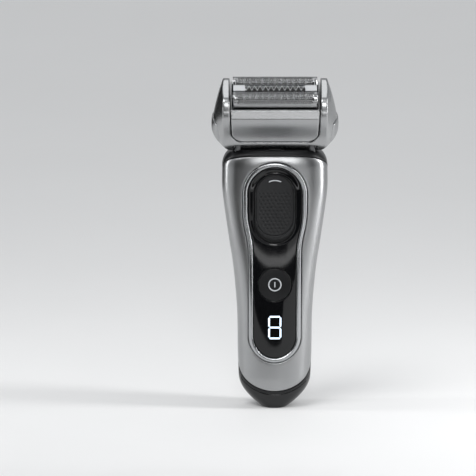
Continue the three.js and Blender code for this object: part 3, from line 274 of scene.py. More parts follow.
class Side:
    """One side of the handle, front or back, laid out by arc length from its middle line."""

    ROWS = np.linspace(0, 1, 420)
    STEPS = np.linspace(0, 1, 320)

    def __init__(self, sign):
        self.sign = sign
        z = self.ROWS * HEIGHT
        half, front, back, power = handle_size(z)
        depth = front if sign < 0 else back
        turn = (math.pi / 2) * self.STEPS**2 * (3 - 2 * self.STEPS)
        x = np.sin(turn)[None, :] ** power[:, None]
        y = np.cos(turn)[None, :] ** power[:, None]
        steps = np.hypot(np.diff(x * half[:, None]), np.diff(y * depth[:, None]))
        along = np.hstack([np.zeros((len(z), 1)), np.cumsum(steps, axis=1)])
        self.lengths = along[:, -1]
        shares = along / along[:, -1:]
        self.x = np.array([np.interp(self.STEPS, s, row) for s, row in zip(shares, x)])
        self.y = np.array([np.interp(self.STEPS, s, row) for s, row in zip(shares, y)])

    def length(self, z):
        """Arc length from the middle line to the side, at a height."""
        return np.interp(z, self.ROWS * HEIGHT, self.lengths)

    def _look_up(self, table, z, share):
        row = np.clip(z / HEIGHT, 0, 1) * (len(self.ROWS) - 1)
        col = np.clip(share, 0, 1) * (len(self.STEPS) - 1)
        i = np.clip(row.astype(int), 0, len(self.ROWS) - 2)
        j = np.clip(col.astype(int), 0, len(self.STEPS) - 2)
        a, b = row - i, col - j
        lower = lerp(table[i, j], table[i, j + 1], b)
        return lerp(lower, lerp(table[i + 1, j], table[i + 1, j + 1], b), a)

    def point(self, share, z):
        """x and y at a share of the arc from the middle line, both at or above zero in size."""
        half, front, back, _ = handle_size(z)
        depth = front if self.sign < 0 else back
        return half * self._look_up(self.x, z, share), depth * self._look_up(self.y, z, share)

    def along(self, x, z):
        """Signed arc length at which the surface has this x."""
        half = handle_size(z)[0]
        rows = np.clip(np.round(z / HEIGHT * (len(self.ROWS) - 1)), 0, len(self.ROWS) - 1)
        share = [np.interp(abs(a) / h, self.x[int(r)], self.STEPS) for a, h, r in zip(x, half, rows)]
        return np.sign(x) * np.array(share) * self.length(z)


FRONT, BACK = Side(-1), Side(1)


def wrap(first, second):
    """A surface map: arc length round the handle from the first side's middle line, and z."""

    def place(uv):
        s, z = uv[:, 0], uv[:, 1]
        near, beyond = first.length(z), second.length(z)
        on_first = np.abs(s) <= near
        x1, y1 = first.point(np.abs(s) / near, z)
        x2, y2 = second.point((near + beyond - np.abs(s)) / beyond, z)
        x = np.sign(s) * np.where(on_first, x1, x2)
        y = np.where(on_first, first.sign * y1, second.sign * y2)
        return np.c_[x, y, z]

    return place


on_front, on_back = wrap(FRONT, BACK), wrap(BACK, FRONT)


def normals_of(place, uv, step=0.2):
    """Unit normals of a surface map, pointing away from the handle's middle."""
    du, dv = np.array([step, 0.0]), np.array([0.0, step])
    normal = np.cross(place(uv + du) - place(uv - du), place(uv + dv) - place(uv - dv))
    normal /= np.linalg.norm(normal, axis=1)[:, None] + 1e-12
    points = place(uv)
    outward = np.sign((normal[:, :2] * points[:, :2]).sum(1) + 1e-9)
    return normal * outward[:, None]


def on_side(side, outline):
    """An outline in x and z as arc length and z on one side of the handle."""
    return np.c_[side.along(*outline.T), outline[:, 1]]


def parting(side, plane, shares, shift=0.0):
    """Where a slanted plane meets one side of the handle, as arc length and z."""
    y0, z0, slope = plane
    z = np.full(len(shares), z0, float)
    for _ in range(60):
        _, y = side.point(np.abs(shares), z)
        z = z0 + slope * (side.sign * y - y0) + shift
    return np.c_[shares * side.length(z), z]


# -------- meshes

def add_object(name, data):
    thing = bpy.data.objects.new(name, data)
    bpy.context.scene.collection.objects.link(thing)
    return thing


def make_piece(name, points, faces, weld=1e-4):
    """A mesh object from points in millimetres, its faces turned outwards and shaded smooth."""
    mesh = bpy.data.meshes.new(name)
    mesh.from_pydata([tuple(p) for p in np.asarray(points) * MM], [], faces)
    work = bmesh.new()
    work.from_mesh(mesh)
    bmesh.ops.remove_doubles(work, verts=work.verts, dist=weld * MM)
    bmesh.ops.recalc_face_normals(work, faces=work.faces)
    work.to_mesh(mesh)
    work.free()
    mesh.shade_smooth()
    return add_object(name, mesh)


def inside(points, loops):
    """Even-odd test of points against closed loops."""
    crossings = np.zeros(len(points), int)
    for loop in loops:
        ends = np.roll(loop, -1, axis=0)
        box_low, box_high = loop.min(0), loop.max(0)
        near = np.flatnonzero((points[:, 1] >= box_low[1]) & (points[:, 1] <= box_high[1])
                              & (points[:, 0] <= box_high[0]))
        if not len(near):
            continue
        px, py = points[near, 0][:, None], points[near, 1][:, None]
        spans = (loop[:, 1] > py) != (ends[:, 1] > py)
        rise = np.where(ends[:, 1] == loop[:, 1], 1.0, ends[:, 1] - loop[:, 1])
        at = loop[:, 0] + (py - loop[:, 1]) * (ends[:, 0] - loop[:, 0]) / rise
        crossings[near] += (spans & (px < at)).sum(1)
    return crossings % 2 == 1


def fill(loops, pitch):
    """Triangles inside closed loops. The loops' own points come first, in order."""
    border = np.vstack(loops)
    start, end = border.min(0), border.max(0)
    rows = np.arange(start[1] + pitch / 2, end[1], pitch * 0.866)
    columns = np.arange(start[0], end[0] + pitch, pitch)
    grid = np.array([(x + (pitch / 2 if i % 2 else 0), y) for i, y in enumerate(rows) for x in columns])
    grid = np.reshape(grid, (-1, 2))
    grid = grid[inside(grid, loops)]
    far = [np.min(np.hypot(*(border - p).T)) > 0.6 * pitch for p in grid]
    points = np.vstack([border, grid[np.array(far, bool)]])
    edges, first = [], 0
    for loop in loops:
        n = len(loop)
        edges += [(first + i, first + (i + 1) % n) for i in range(n)]
        first += n
    made, _, triangles, origin, _, _ = delaunay_2d_cdt(
        [Vector(p) for p in points], edges, [], 0, 1e-7)
    index = [o[0] if o else -1 for o in origin]
    points = list(map(tuple, points))
    for i, p in enumerate(made):
        if index[i] < 0:
            index[i] = len(points)
            points.append(tuple(p))
    points = np.array(points)
    corners = np.array([[index[v] for v in t] for t in triangles if len(t) == 3])
    corners = corners[inside(points[corners].mean(1), loops)]
    return points, corners


def inset_loop(loop, amount):
    """A loop moved towards the material, which lies on its left."""
    ahead, behind = np.roll(loop, -1, axis=0) - loop, loop - np.roll(loop, 1, axis=0)
    sides = [np.c_[-d[:, 1], d[:, 0]] / (np.linalg.norm(d, axis=1)[:, None] + 1e-12)
             for d in (ahead, behind)]
    middle = sides[0] + sides[1]
    middle /= np.linalg.norm(middle, axis=1)[:, None] + 1e-12
    reach = 1 / np.clip((middle * sides[0]).sum(1), 0.6, 1)
    return loop + middle * (amount * reach)[:, None]


def skin(name, loops, place, depth, thickness, edge=0.3, pitch=1.0, rounds=3, lift=None, seam=None):
    """A closed sheet of material wrapped on a surface. The first loop is its outline, counter-
    clockwise, and the others are holes, clockwise. Depth is how far its face lies below the surface.
    Seam gives the u at which a sheet that goes all the way round meets itself, at each height."""
    turn = np.linspace(0, math.pi / 2, rounds + 1) if edge else [0.0]
    rows = [(edge * (1 - math.sin(a)), edge * (1 - math.cos(a))) for a in turn] + [(0, thickness)]

    def on_seam(loop):
        return np.abs(loop[:, 0]) > seam(loop[:, 1]) - 1e-3

    def moved_in(loop, amount):
        shifted = inset_loop(loop, amount)
        if seam is not None:
            back_on = np.sign(loop[:, 0]) * seam(shifted[:, 1])
            shifted[:, 0] = np.where(on_seam(loop), back_on, shifted[:, 0])
        return shifted

    top, top_faces = fill([moved_in(loop, rows[0][0]) for loop in loops], pitch)
    back, back_faces = fill(loops, 3 * pitch)

    def placed(uv, below):
        return place(uv) - normals_of(place, uv) * np.reshape(below, (-1, 1))

    raised = lift(top) if lift else np.zeros(len(top))
    points = [placed(top, depth - raised), placed(back, np.full(len(back), depth + thickness))]
    faces = [tuple(t) for t in top_faces]
    faces += [tuple(t[::-1] + len(top)) for t in back_faces]
    total, first = len(top) + len(back), 0
    for loop in loops:
        n = len(loop)
        row_ids = [np.arange(first, first + n)]
        for offset, below in rows[1:-1]:
            points.append(placed(moved_in(loop, offset), np.full(n, depth + below)))
            row_ids.append(np.arange(total, total + n))
            total += n
        row_ids.append(np.arange(first, first + n) + len(top))
        joined = np.ones(n, bool)
        if seam is not None:
            joined = ~(on_seam(loop) & on_seam(np.roll(loop, -1, axis=0)))
        for upper, lower in zip(row_ids, row_ids[1:]):
            faces += [(upper[(i + 1) % n], upper[i], lower[i], lower[(i + 1) % n])
                      for i in range(n) if joined[i]]
        first += n
    weld = 2e-3 if seam is None else 0.03
    return make_piece(name, np.vstack(points), [tuple(map(int, f)) for f in faces], weld)


def laid(side, name, outline, depth, thickness, holes=(), **options):
    """A skin on the front or back, from outlines in x and z, all counter-clockwise."""
    loops = [on_side(side, outline)] + [on_side(side, hole)[::-1] for hole in holes]
    return skin(name, loops, on_front if side is FRONT else on_back, depth, thickness, **options)


def loft(name, rings):
    """A closed solid through rings of equally many points."""
    rings = [np.asarray(r, float) for r in rings]
    n = len(rings[0])
    points = np.vstack([*rings, rings[0].mean(0), rings[-1].mean(0)])
    faces = [(i * n + j, i * n + (j + 1) % n, (i + 1) * n + (j + 1) % n, (i + 1) * n + j)
             for i in range(len(rings) - 1) for j in range(n)]
    first, last = len(points) - 2, len(points) - 1
    end = (len(rings) - 1) * n
    faces += [(first, (j + 1) % n, j) for j in range(n)]
    faces += [(last, end + j, end + (j + 1) % n) for j in range(n)]
    return make_piece(name, points, faces)


def prism(name, outline, low_end, high_end, axis):
    """An outline extruded along x, y or z; its two coordinates are the other axes, in order."""
    outline = np.asarray(outline, float)
    rings = [np.insert(outline, axis, end, axis=1) for end in (low_end, high_end)]
    n = len(outline)
    faces = [(j, (j + 1) % n, n + (j + 1) % n, n + j) for j in range(n)]
    faces += [tuple(range(n)), tuple(range(2 * n - 1, n - 1, -1))]
    return make_piece(name, np.vstack(rings), faces)


def box(name, x0, x1, y0, y1, z0, z1):
    return prism(name, [(x0, y0), (x1, y0), (x1, y1), (x0, y1)], z0, z1, 2)


def rod(name, radius, centre, low_end, high_end, axis, sides=64):
    turn = np.linspace(0, 2 * math.pi, sides, endpoint=False)
    outline = np.c_[centre[0] + radius * np.cos(turn), centre[1] + radius * np.sin(turn)]
    return prism(name, outline, low_end, high_end, axis)


def baked(piece):
    """Turns a piece's modifiers into its mesh."""
    graph = bpy.context.evaluated_depsgraph_get()
    mesh = bpy.data.meshes.new_from_object(piece.evaluated_get(graph))
    old = piece.data
    piece.modifiers.clear()
    piece.data = mesh
    bpy.data.meshes.remove(old)
    return piece


def combine(piece, others, operation):
    """Cuts, joins or intersects a piece with others, which are used up."""
    for other in others:
        modifier = piece.modifiers.new("solid", "BOOLEAN")
        modifier.operation = operation
        modifier.object = other
        modifier.solver = "MANIFOLD"
    bpy.context.view_layer.update()
    baked(piece)
    for other in others:
        bpy.data.objects.remove(other)
    return piece


def cut(piece, *others):
    return combine(piece, others, "DIFFERENCE")


def span(side, near, far):
    """Two distances from the middle as the lower and upper x or y on one side, -1 or 1."""
    return sorted((side * near, side * far))


def join(piece, *others):
    return combine(piece, others, "UNION")


def common(piece, *others):
    return combine(piece, others, "INTERSECT")


def soften(piece, voxel=0.3, passes=4, keep=0.35):
    """Rounds every edge of a solid a little, and leaves its faces where they are."""
    source = BVHTree.FromObject(piece, bpy.context.evaluated_depsgraph_get())
    remesh = piece.modifiers.new("fine", "REMESH")
    remesh.mode = "VOXEL"
    remesh.voxel_size = voxel * MM
    baked(piece)
    mesh = piece.data
    count = len(mesh.vertices)
    points = np.zeros(count * 3)
    mesh.vertices.foreach_get("co", points)
    points = points.reshape(-1, 3)
    edges = np.zeros(len(mesh.edges) * 2, int)
    mesh.edges.foreach_get("vertices", edges)
    a, b = edges.reshape(-1, 2).T
    valence = (np.bincount(a, minlength=count) + np.bincount(b, minlength=count))[:, None]

    def relaxed(points, times):
        for _ in range(times):
            total = np.stack([np.bincount(a, points[b, k], count) + np.bincount(b, points[a, k], count)
                              for k in range(3)], axis=1)
            points = (points + total / valence) / 2
        return points

    points = relaxed(points, passes)
    near = [source.find_nearest(Vector(p)) for p in points]
    target = np.array([tuple(n[0]) for n in near])
    away = np.array([n[3] for n in near])
    hold = 1 - smoothstep(away, 0.1 * voxel * MM, 0.3 * voxel * MM)
    points = relaxed(lerp(points, target, hold[:, None]), passes)
    mesh.vertices.foreach_set("co", points.ravel())
    mesh.update()
    if keep < 1:
        piece.modifiers.new("lighter", "DECIMATE").ratio = keep
        baked(piece)
    piece.data.shade_smooth()
    return piece


def dress(piece, body, slot, look, *nodes):
    """Puts a finished piece on its body, with its material and the CAD nodes it stands for."""
    piece.data.materials.clear()
    piece.data.materials.append(LOOK[look])
    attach(piece, body)
    if nodes:
        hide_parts(*nodes)


# -------- materials

def new_material(name):
    material = bpy.data.materials.new(name)
    material.use_nodes = True
    return material, material.node_tree, material.node_tree.nodes["Principled BSDF"]


def settle(node, **values):
    """Sets a node's inputs, whose names are given with _ for each space."""
    for socket, value in values.items():
        node.inputs[socket.replace("_", " ")].default_value = value


def noise(tree, scale, detail=3.0):
    """Noise in the piece's own space; scale is features per metre along x, y and z."""
    where = tree.nodes.new("ShaderNodeTexCoord")
    stretch = tree.nodes.new("ShaderNodeMapping")
    settle(stretch, Scale=scale)
    field = tree.nodes.new("ShaderNodeTexNoise")
    settle(field, Scale=1.0, Detail=detail, Roughness=0.6)
    tree.links.new(where.outputs["Object"], stretch.inputs["Vector"])
    tree.links.new(stretch.outputs["Vector"], field.inputs["Vector"])
    return field.outputs["Fac"]


def ranged(tree, value, low_end, high_end):
    """Noise spread over a range."""
    change = tree.nodes.new("ShaderNodeMapRange")
    settle(change, From_Min=0.3, From_Max=0.7, To_Min=low_end, To_Max=high_end)
    tree.links.new(value, change.inputs["Value"])
    return change.outputs["Result"]


def finish_of(name, colour, roughness, metallic=0.0, grain=(900, 900, 900), spread=0.05,
              relief=0.1, depth=0.02, tint=0.08, specular=0.5, stain=(60, 60, 60)):
    """A surface with fine grain in its roughness and relief, and slow changes in its colour.
    Grain and stain are in features per metre, and the relief's depth is in millimetres."""
    material, tree, shader = new_material(name)
    settle(shader, Metallic=metallic, Specular_IOR_Level=specular)
    fine = noise(tree, grain)
    rough = ranged(tree, fine, max(roughness - spread, 0.02), roughness + spread)
    tree.links.new(rough, shader.inputs["Roughness"])
    bump = tree.nodes.new("ShaderNodeBump")
    settle(bump, Strength=relief, Distance=depth * MM)
    tree.links.new(fine, bump.inputs["Height"])
    tree.links.new(bump.outputs["Normal"], shader.inputs["Normal"])
    mix = tree.nodes.new("ShaderNodeMix")
    mix.data_type = "RGBA"
    mix.inputs[6].default_value = (*[c * (1 - tint) for c in colour], 1)
    mix.inputs[7].default_value = (*[min(c * (1 + tint), 1) for c in colour], 1)
    slow = noise(tree, stain, 2.0)
    tree.links.new(ranged(tree, slow, 0, 1), mix.inputs[0])
    tree.links.new(mix.outputs[2], shader.inputs["Base Color"])
    return material


def glowing(name, colour, strength):
    """A lit segment: even light with a slightly uneven diffuser."""
    material, tree, shader = new_material(name)
    settle(shader, Base_Color=(*colour, 1), Roughness=0.4, Emission_Color=(*colour, 1))
    even = noise(tree, (700, 700, 700), 1.0)
    tree.links.new(ranged(tree, even, strength * 0.92, strength), shader.inputs["Emission Strength"])
    return material


def make_materials():
    plain, even = (900, 900, 900), (2400, 2400, 2400)
    brushed, across = (7000, 7000, 55), (60, 6000, 6000)
    # name, colour, roughness, metallic, grain, spread, relief, depth, tint, specular
    rows = {
        "silver": ("silver_lacquer", (0.36, 0.365, 0.37), 0.3, 1, brushed, 0.015, 0.04, 0.01, 0.03),
        "cast": ("satin_cast_silver", (0.38, 0.385, 0.39), 0.27, 1, even, 0.004, 0.01, 0.005, 0.02),
        "bright": ("bright_chrome", (0.42, 0.43, 0.44), 0.2, 1, plain, 0.008, 0.02, 0.01, 0.02),
        "foil": ("foil_steel", (0.34, 0.345, 0.35), 0.22, 1, across, 0.06, 0.08, 0.01, 0.03),
        "teeth": ("trimmer_steel", (0.48, 0.49, 0.5), 0.34, 1, even, 0.06, 0.08, 0.01, 0.03),
        "steel": ("brushed_steel", (0.5, 0.51, 0.52), 0.3, 1, across, 0.06, 0.1, 0.012, 0.04),
        # the next look is steel painted dark: painted shade for the cutters under the foils and the yoke in
        # the neck's slots
        "steel_darkened_as_shade": ("steel_darkened_as_shade", (0.16, 0.163, 0.168), 0.36, 1, across, 0.06, 0.1, 0.012, 0.04),
        "gloss": ("gloss_black", (0.004, 0.0042, 0.0048), 0.06, 0, (500, 500, 500), 0.012, 0.01, 0.01,
                  0.05, 0.42),
        "satin": ("satin_black", (0.009, 0.0093, 0.01), 0.32, 0, even, 0.05, 0.15, 0.02, 0.1, 0.3),
        "cap": ("base_black", (0.007, 0.0073, 0.008), 0.17, 0, even, 0.02, 0.05, 0.01, 0.1, 0.45),
        "slider": ("slider_grey", (0.014, 0.0145, 0.0155), 0.3, 0, even, 0.05, 0.15, 0.02, 0.1, 0.3),
        "soft": ("soft_black", (0.013, 0.0133, 0.0143), 0.5, 0, (1800, 1800, 1800), 0.08, 0.3, 0.03,
                 0.12, 0.3),
        "inner": ("moulded_grey", (0.12, 0.123, 0.127), 0.5, 0, (1200, 1200, 1200), 0.06, 0.2, 0.02,
                  0.06),
        "board": ("solder_mask", (0.015, 0.1, 0.04), 0.3, 0, (700, 700, 700), 0.08, 0.2, 0.03, 0.2),
        "wrap": ("cell_wrap", (0.05, 0.12, 0.25), 0.28, 0, (300, 300, 60), 0.05, 0.1, 0.03),
        "copper": ("winding_copper", (0.55, 0.24, 0.11), 0.3, 0.9, (90, 90, 5200), 0.08, 0.8, 0.08, 0.1),
        "brass": ("plated_brass", (0.75, 0.56, 0.28), 0.22, 1, plain, 0.05, 0.05, 0.01, 0.05),
        "film": ("amber_film", (0.35, 0.18, 0.04), 0.3, 0, (4200, 60, 60), 0.06, 0.3, 0.02, 0.12),
        "mark": ("printed_mark", (0.5, 0.52, 0.54), 0.4, 0, plain, 0.05, 0.05, 0.01, 0.03),
    }
    looks = {kind: finish_of(*row) for kind, row in rows.items()}
    looks["digit"] = glowing("lit_digit", (0.72, 0.86, 1.0), 1.3)
    return looks


LOOK = make_materials()


# -------- handle skins

def build_front_cover():
    pitch = 1.1
    shares = np.linspace(-1, 1, round(2 * FRONT.length(60) / pitch))
    bottom = parting(FRONT, COVER_LOW, shares)
    top = parting(FRONT, COVER_HIGH, shares[::-1], -0.1)
    heights = np.linspace(bottom[-1, 1], top[0, 1], round((top[0, 1] - bottom[-1, 1]) / pitch))[1:-1]
    right = np.c_[FRONT.length(heights), heights]
    left = np.c_[-FRONT.length(heights[::-1]), heights[::-1]]
    outline = np.vstack([bottom, right, top, left])
    hole = on_side(FRONT, keyhole(BEZEL_WIDTH + GAP))[::-1]
    cover = skin("cover_front", [outline, hole], on_front, 0, WALL, edge=0.45, rounds=4)
    dress(cover, "handle", "silver_cover", "silver", "front_cover")


def ring(radius, pitch):
    """A circle round the power button's middle, counter-clockwise."""
    return arc((0, BUTTON_Z), radius, 0, 2 * math.pi, pitch)


def build_bezel():
    bezel = laid(FRONT, "bezel", keyhole(BEZEL_WIDTH, FRONT_PITCH), -BEZEL_PROUD, WALL + BEZEL_PROUD,
                 [keyhole(0.05, FRONT_PITCH)], edge=0.7, pitch=FRONT_PITCH, rounds=5)
    dress(bezel, "handle", "bright_bezel", "bright", "inlay_bezel")


def trough(uv):
    """The inlay's dish round the slider: deepest at the slider's edge."""
    deep, start, end = 0.7, 0.4, 3.4
    x, z = uv.T
    bottom, top = SLIDER_Z[0] + SLIDER_HALF, SLIDER_Z[1] - SLIDER_HALF
    away = np.hypot(x, z - np.clip(z, bottom, top)) - SLIDER_HALF
    return -deep * (1 - smoothstep(away, start, end))


def build_inlay():
    gap = 0.45
    slider = stadium(SLIDER_HALF + gap, SLIDER_Z[0] - SLIDER_TRAVEL - gap, SLIDER_Z[1] + gap, 0.7)
    button = ring(BUTTON_RADIUS + 0.25, FRONT_PITCH)
    panel = laid(FRONT, "inlay", keyhole(-0.2, 0.7), PANEL_DEPTH, WALL, [slider, button], edge=0.2,
                 pitch=0.38, rounds=2, lift=trough)
    dress(panel, "handle", "gloss_black", "gloss", "inlay_panel")


def segment_outlines(width, height, stroke):
    """The seven bars of a digit, each an outline in x and z with pointed ends."""
    half, reach = width / 2, stroke / 2
    notch = 0.12
    bars = []
    for z in (0, height / 2, height):
        z_in = min(max(z, reach), height - reach)
        ends = half - stroke - notch
        bars.append([(-ends - reach, z_in), (-ends, z_in - reach), (ends, z_in - reach),
                     (ends + reach, z_in), (ends, z_in + reach), (-ends, z_in + reach)])
    for side in (-1, 1):
        x = side * (half - reach)
        for start in (reach, height / 2):
            z0, z1 = start + reach / 2 + notch, start + height / 2 - reach * 1.5 - notch
            bars.append([(x, z0), (x + reach, z0 + reach), (x + reach, z1 - reach), (x, z1),
                         (x - reach, z1 - reach), (x - reach, z0 + reach)])
    return bars


def build_digit():
    width, height, stroke = 6.4, 11.6, 0.8
    parts = []
    for i, bar in enumerate(segment_outlines(width, height, stroke)):
        outline = polygon(np.array(bar) + (0, DISPLAY_Z - height / 2), 0.8)
        parts.append(laid(FRONT, f"segment_{i}", outline, PANEL_DEPTH - 0.06, 0.2, edge=0, pitch=0.8))
    dress(fused("digit", parts), "handle", "gloss_black", "digit")


def fused(name, parts):
    """Several pieces as one object."""
    work = bmesh.new()
    for part in parts:
        work.from_mesh(part.data)
    work.to_mesh(parts[0].data)
    work.free()
    for part in parts[1:]:
        bpy.data.objects.remove(part)
    parts[0].name = name
    parts[0].data.shade_smooth()
    return parts[0]


def build_slider():
    """A rim round the pad, on a flange that stays under the inlay as it slides."""
    room, lap, reach_down = 0.15, 1.2, 3.2
    outline = stadium(SLIDER_HALF, *SLIDER_Z, FRONT_PITCH)
    seat = stadium(PAD_HALF + room, PAD_Z[0] - room, PAD_Z[1] + room, FRONT_PITCH)
    rim = laid(FRONT, "slider_rim", outline, -0.1, 2.6, [seat], edge=0.11, pitch=FRONT_PITCH, rounds=2)
    wide = stadium(SLIDER_HALF + lap, SLIDER_Z[0] - reach_down, SLIDER_Z[1] + lap, 0.8)
    flange = laid(FRONT, "slider_flange", wide, 2.3, 0.9, edge=0.1, pitch=1.2)
    dress(fused("slider", [rim, flange]), "lock_slider", "satin_black", "slider", "lock_slider")


def dimples(uv):
    """Round dimples in staggered rows, fading out towards the upper end."""
    pitch, radius, deep = 2.0, 0.66, 0.42
    x, z = uv.T
    row = np.round((z - PAD_Z[0]) / (pitch * 0.866))
    shift = np.where(row % 2 == 0, 0.0, pitch / 2)
    column = np.round((x - shift) / pitch)
    away = np.hypot(x - shift - column * pitch, z - PAD_Z[0] - row * pitch * 0.866)
    middle = (PAD_Z[0] + PAD_Z[1]) / 2
    edge = np.hypot(x, z - np.clip(z, PAD_Z[0] + PAD_HALF, PAD_Z[1] - PAD_HALF)) / PAD_HALF
    strength = (1 - smoothstep(z, middle + 5, middle + 8.5)) * (1 - smoothstep(edge, 0.8, 0.92))
    cup = np.clip(1 - (away / radius) ** 2, 0, 1)
    dish = -0.5 * (1 - edge**2)
    return dish - deep * cup * strength


def build_pad():
    pad = laid(FRONT, "pad", stadium(PAD_HALF, *PAD_Z, 0.5), 0.15, 0.9, edge=0.2, pitch=0.28, rounds=2,
               lift=dimples)
    dress(pad, "lock_slider", "soft_black", "soft", "thumb_pad")
    bow, stroke, turn = 7.0, 0.26, math.radians(26)
    centre = (0, PAD_Z[1] - 2.5 - bow)
    ends = math.pi / 2 - turn, math.pi / 2 + turn
    outline = np.vstack([arc(centre, bow + stroke, *ends, 0.3),
                         arc(centre, bow - stroke, *ends[::-1], 0.3)])
    mark = laid(FRONT, "slider_mark", outline, 0.27, 0.25, edge=0, pitch=0.4)
    dress(mark, "lock_slider", "soft_black", "mark")


def build_button():
    deep = 0.55

    def dish(uv):
        away = np.hypot(uv[:, 0], uv[:, 1] - BUTTON_Z) / BUTTON_RADIUS
        return -deep * (1 - away**2)

    button = laid(FRONT, "power_key", ring(BUTTON_RADIUS, 0.5), 0.15, 2.4, edge=0.35, pitch=0.5,
                  rounds=4, lift=dish)
    dress(button, "power_button", "satin_black", "satin", "power_button")
    middle, stroke = 3.0, 0.3
    bar = rounded_box(-0.28, 0.28, BUTTON_Z - 1.3, BUTTON_Z + 1.3, 0.2, 0.3)
    band = ring(middle + stroke, 0.3), [ring(middle - stroke, 0.3)]
    parts = [laid(FRONT, f"power_mark_{i}", outline, 0.55, 0.25, holes, edge=0, pitch=0.4)
             for i, (outline, holes) in enumerate((band, (bar, [])))]
    dress(fused("power_mark", parts), "power_button", "satin_black", "mark")


# -------- back, base and neck

def build_rear_shell():
    pitch = 1.3
    count = round(2 * (BACK.length(60) + FRONT.length(60)) / pitch / 4)
    quarter = np.linspace(0, 1, count)
    front_low = parting(FRONT, CAP_HIGH, quarter, GAP)
    front_high = parting(FRONT, COVER_LOW, quarter, -GAP)

    def from_back(uv):
        """The same points, measured round from the back's middle line."""
        return np.c_[BACK.length(uv[:, 1]) + FRONT.length(uv[:, 1]) - uv[:, 0], uv[:, 1]]

    low_z, top_z = front_low[-1, 1], HEIGHT - 11.8 - GAP
    back_low = np.c_[quarter * BACK.length(low_z), np.full(count, low_z)]
    heights = np.arange(front_high[-1, 1], top_z, pitch)
    edge = np.c_[BACK.length(heights) - GAP, heights]
    shoulder = BACK.point(np.array([0.97]), np.array([top_z]))[0][0]
    corners = [(shoulder, top_z), (RECESS_HALF, top_z), (RECESS_HALF, RECESS_Z), (0, RECESS_Z)]
    recess = [on_side(BACK, line(a, b, pitch)) for a, b in zip(corners, corners[1:])]
    right = np.vstack([back_low[1:-1], from_back(front_low[::-1]), from_back(front_high), edge[1:],
                       *recess])
    left = np.c_[-right[::-1, 0], right[::-1, 1]]
    outline = np.vstack([[[0, low_z]], right, [[0, RECESS_Z]], left])

    def seam(z):
        return BACK.length(z) + FRONT.length(z)

    grip = on_side(BACK, stadium(GRIP_HALF + 0.2, GRIP_Z[0] - 0.2, GRIP_Z[1] + 0.2, 1.0))[::-1]
    shell = skin("shell_rear", [outline, grip], on_back, 0, WALL, pitch=pitch, seam=seam)
    tray_half = RECESS_HALF + TRAY_WALL
    tray = box("tray", -tray_half, tray_half, RECESS_FLOOR - TRAY_WALL, FAR, RECESS_Z - TRAY_WALL, top_z)
    tray = cut(tray, box("slot", -RECESS_HALF, RECESS_HALF, RECESS_FLOOR, 2 * FAR, RECESS_Z, 2 * FAR * 2))
    tray = common(tray, handle_solid("inner_form", 1.0, 60, HEIGHT))
    dress(fused("shell_rear", [shell, tray]), "handle", "satin_black", "satin", "rear_shell")


def handle_solid(name, inset, start, end, rows=40, around=120):
    """The handle's form as a solid, set in from its surface."""
    heights = start + (end - start) * np.sin(np.linspace(0, math.pi / 2, rows))
    turn = np.linspace(0, 2 * math.pi, around, endpoint=False)
    rings = []
    for z in heights:
        half, front, back, power = (float(v) for v in handle_size(np.array(z)))
        cosine, sine = np.cos(turn), np.sin(turn)
        depth = np.where(sine > 0, back, front)
        x = (half - inset) * np.sign(cosine) * np.abs(cosine) ** power
        y = (depth - inset) * np.sign(sine) * np.abs(sine) ** power
        rings.append(np.c_[x, y, np.full(around, z)])
    return loft(name, rings)


def build_grip():
    def ribs(uv):
        x, z = uv.T
        middle = np.clip(z, GRIP_Z[0] + GRIP_HALF, GRIP_Z[1] - GRIP_HALF)
        edge = np.hypot(x, z - middle) / GRIP_HALF
        wave = np.abs(np.sin(math.pi * (z - GRIP_Z[0]) / 2.2)) ** 0.6
        return -0.4 * (1 - wave) * (1 - smoothstep(edge, 0.78, 0.86))

    pad = laid(BACK, "grip", stadium(GRIP_HALF, *GRIP_Z, 0.8), -0.4, 1.4, edge=0.4, pitch=0.45, lift=ribs)
    dress(pad, "handle", "soft_black", "soft", "rear_grip")


def build_cap():
    y0, z0, slope = CAP_HIGH
    level = z0 - slope * y0
    cap = handle_solid("cap_bottom", 0, 0, 40, 60, 160)
    region = prism("region", [(-FAR, z0 + slope * (-FAR - y0)), (0, level), (FAR, level),
                              (FAR, 2 * FAR), (-FAR, 2 * FAR)], -FAR, FAR, 0)
    socket_low, socket_high = low("charging_socket"), high("charging_socket")
    wall = 1.2
    socket = box("socket_hole", socket_low[0] + wall, socket_high[0] - wall, socket_low[1] + wall,
                 socket_high[1] - wall, -1, 8)
    contacts = []
    for side in ("left", "right"):
        node = f"station_contact_{side}"
        centre = (low(node) + high(node)) / 2
        contacts.append(rod(node + "_hole", 1.8, (centre[0], centre[2]), 5, FAR, 1, 32))
    cap = cut(cap, region, handle_solid("cavity", WALL, 5.2, 60), socket, *contacts)
    dress(soften(cap, 0.3), "handle", "satin_black", "cap", "bottom_cap")


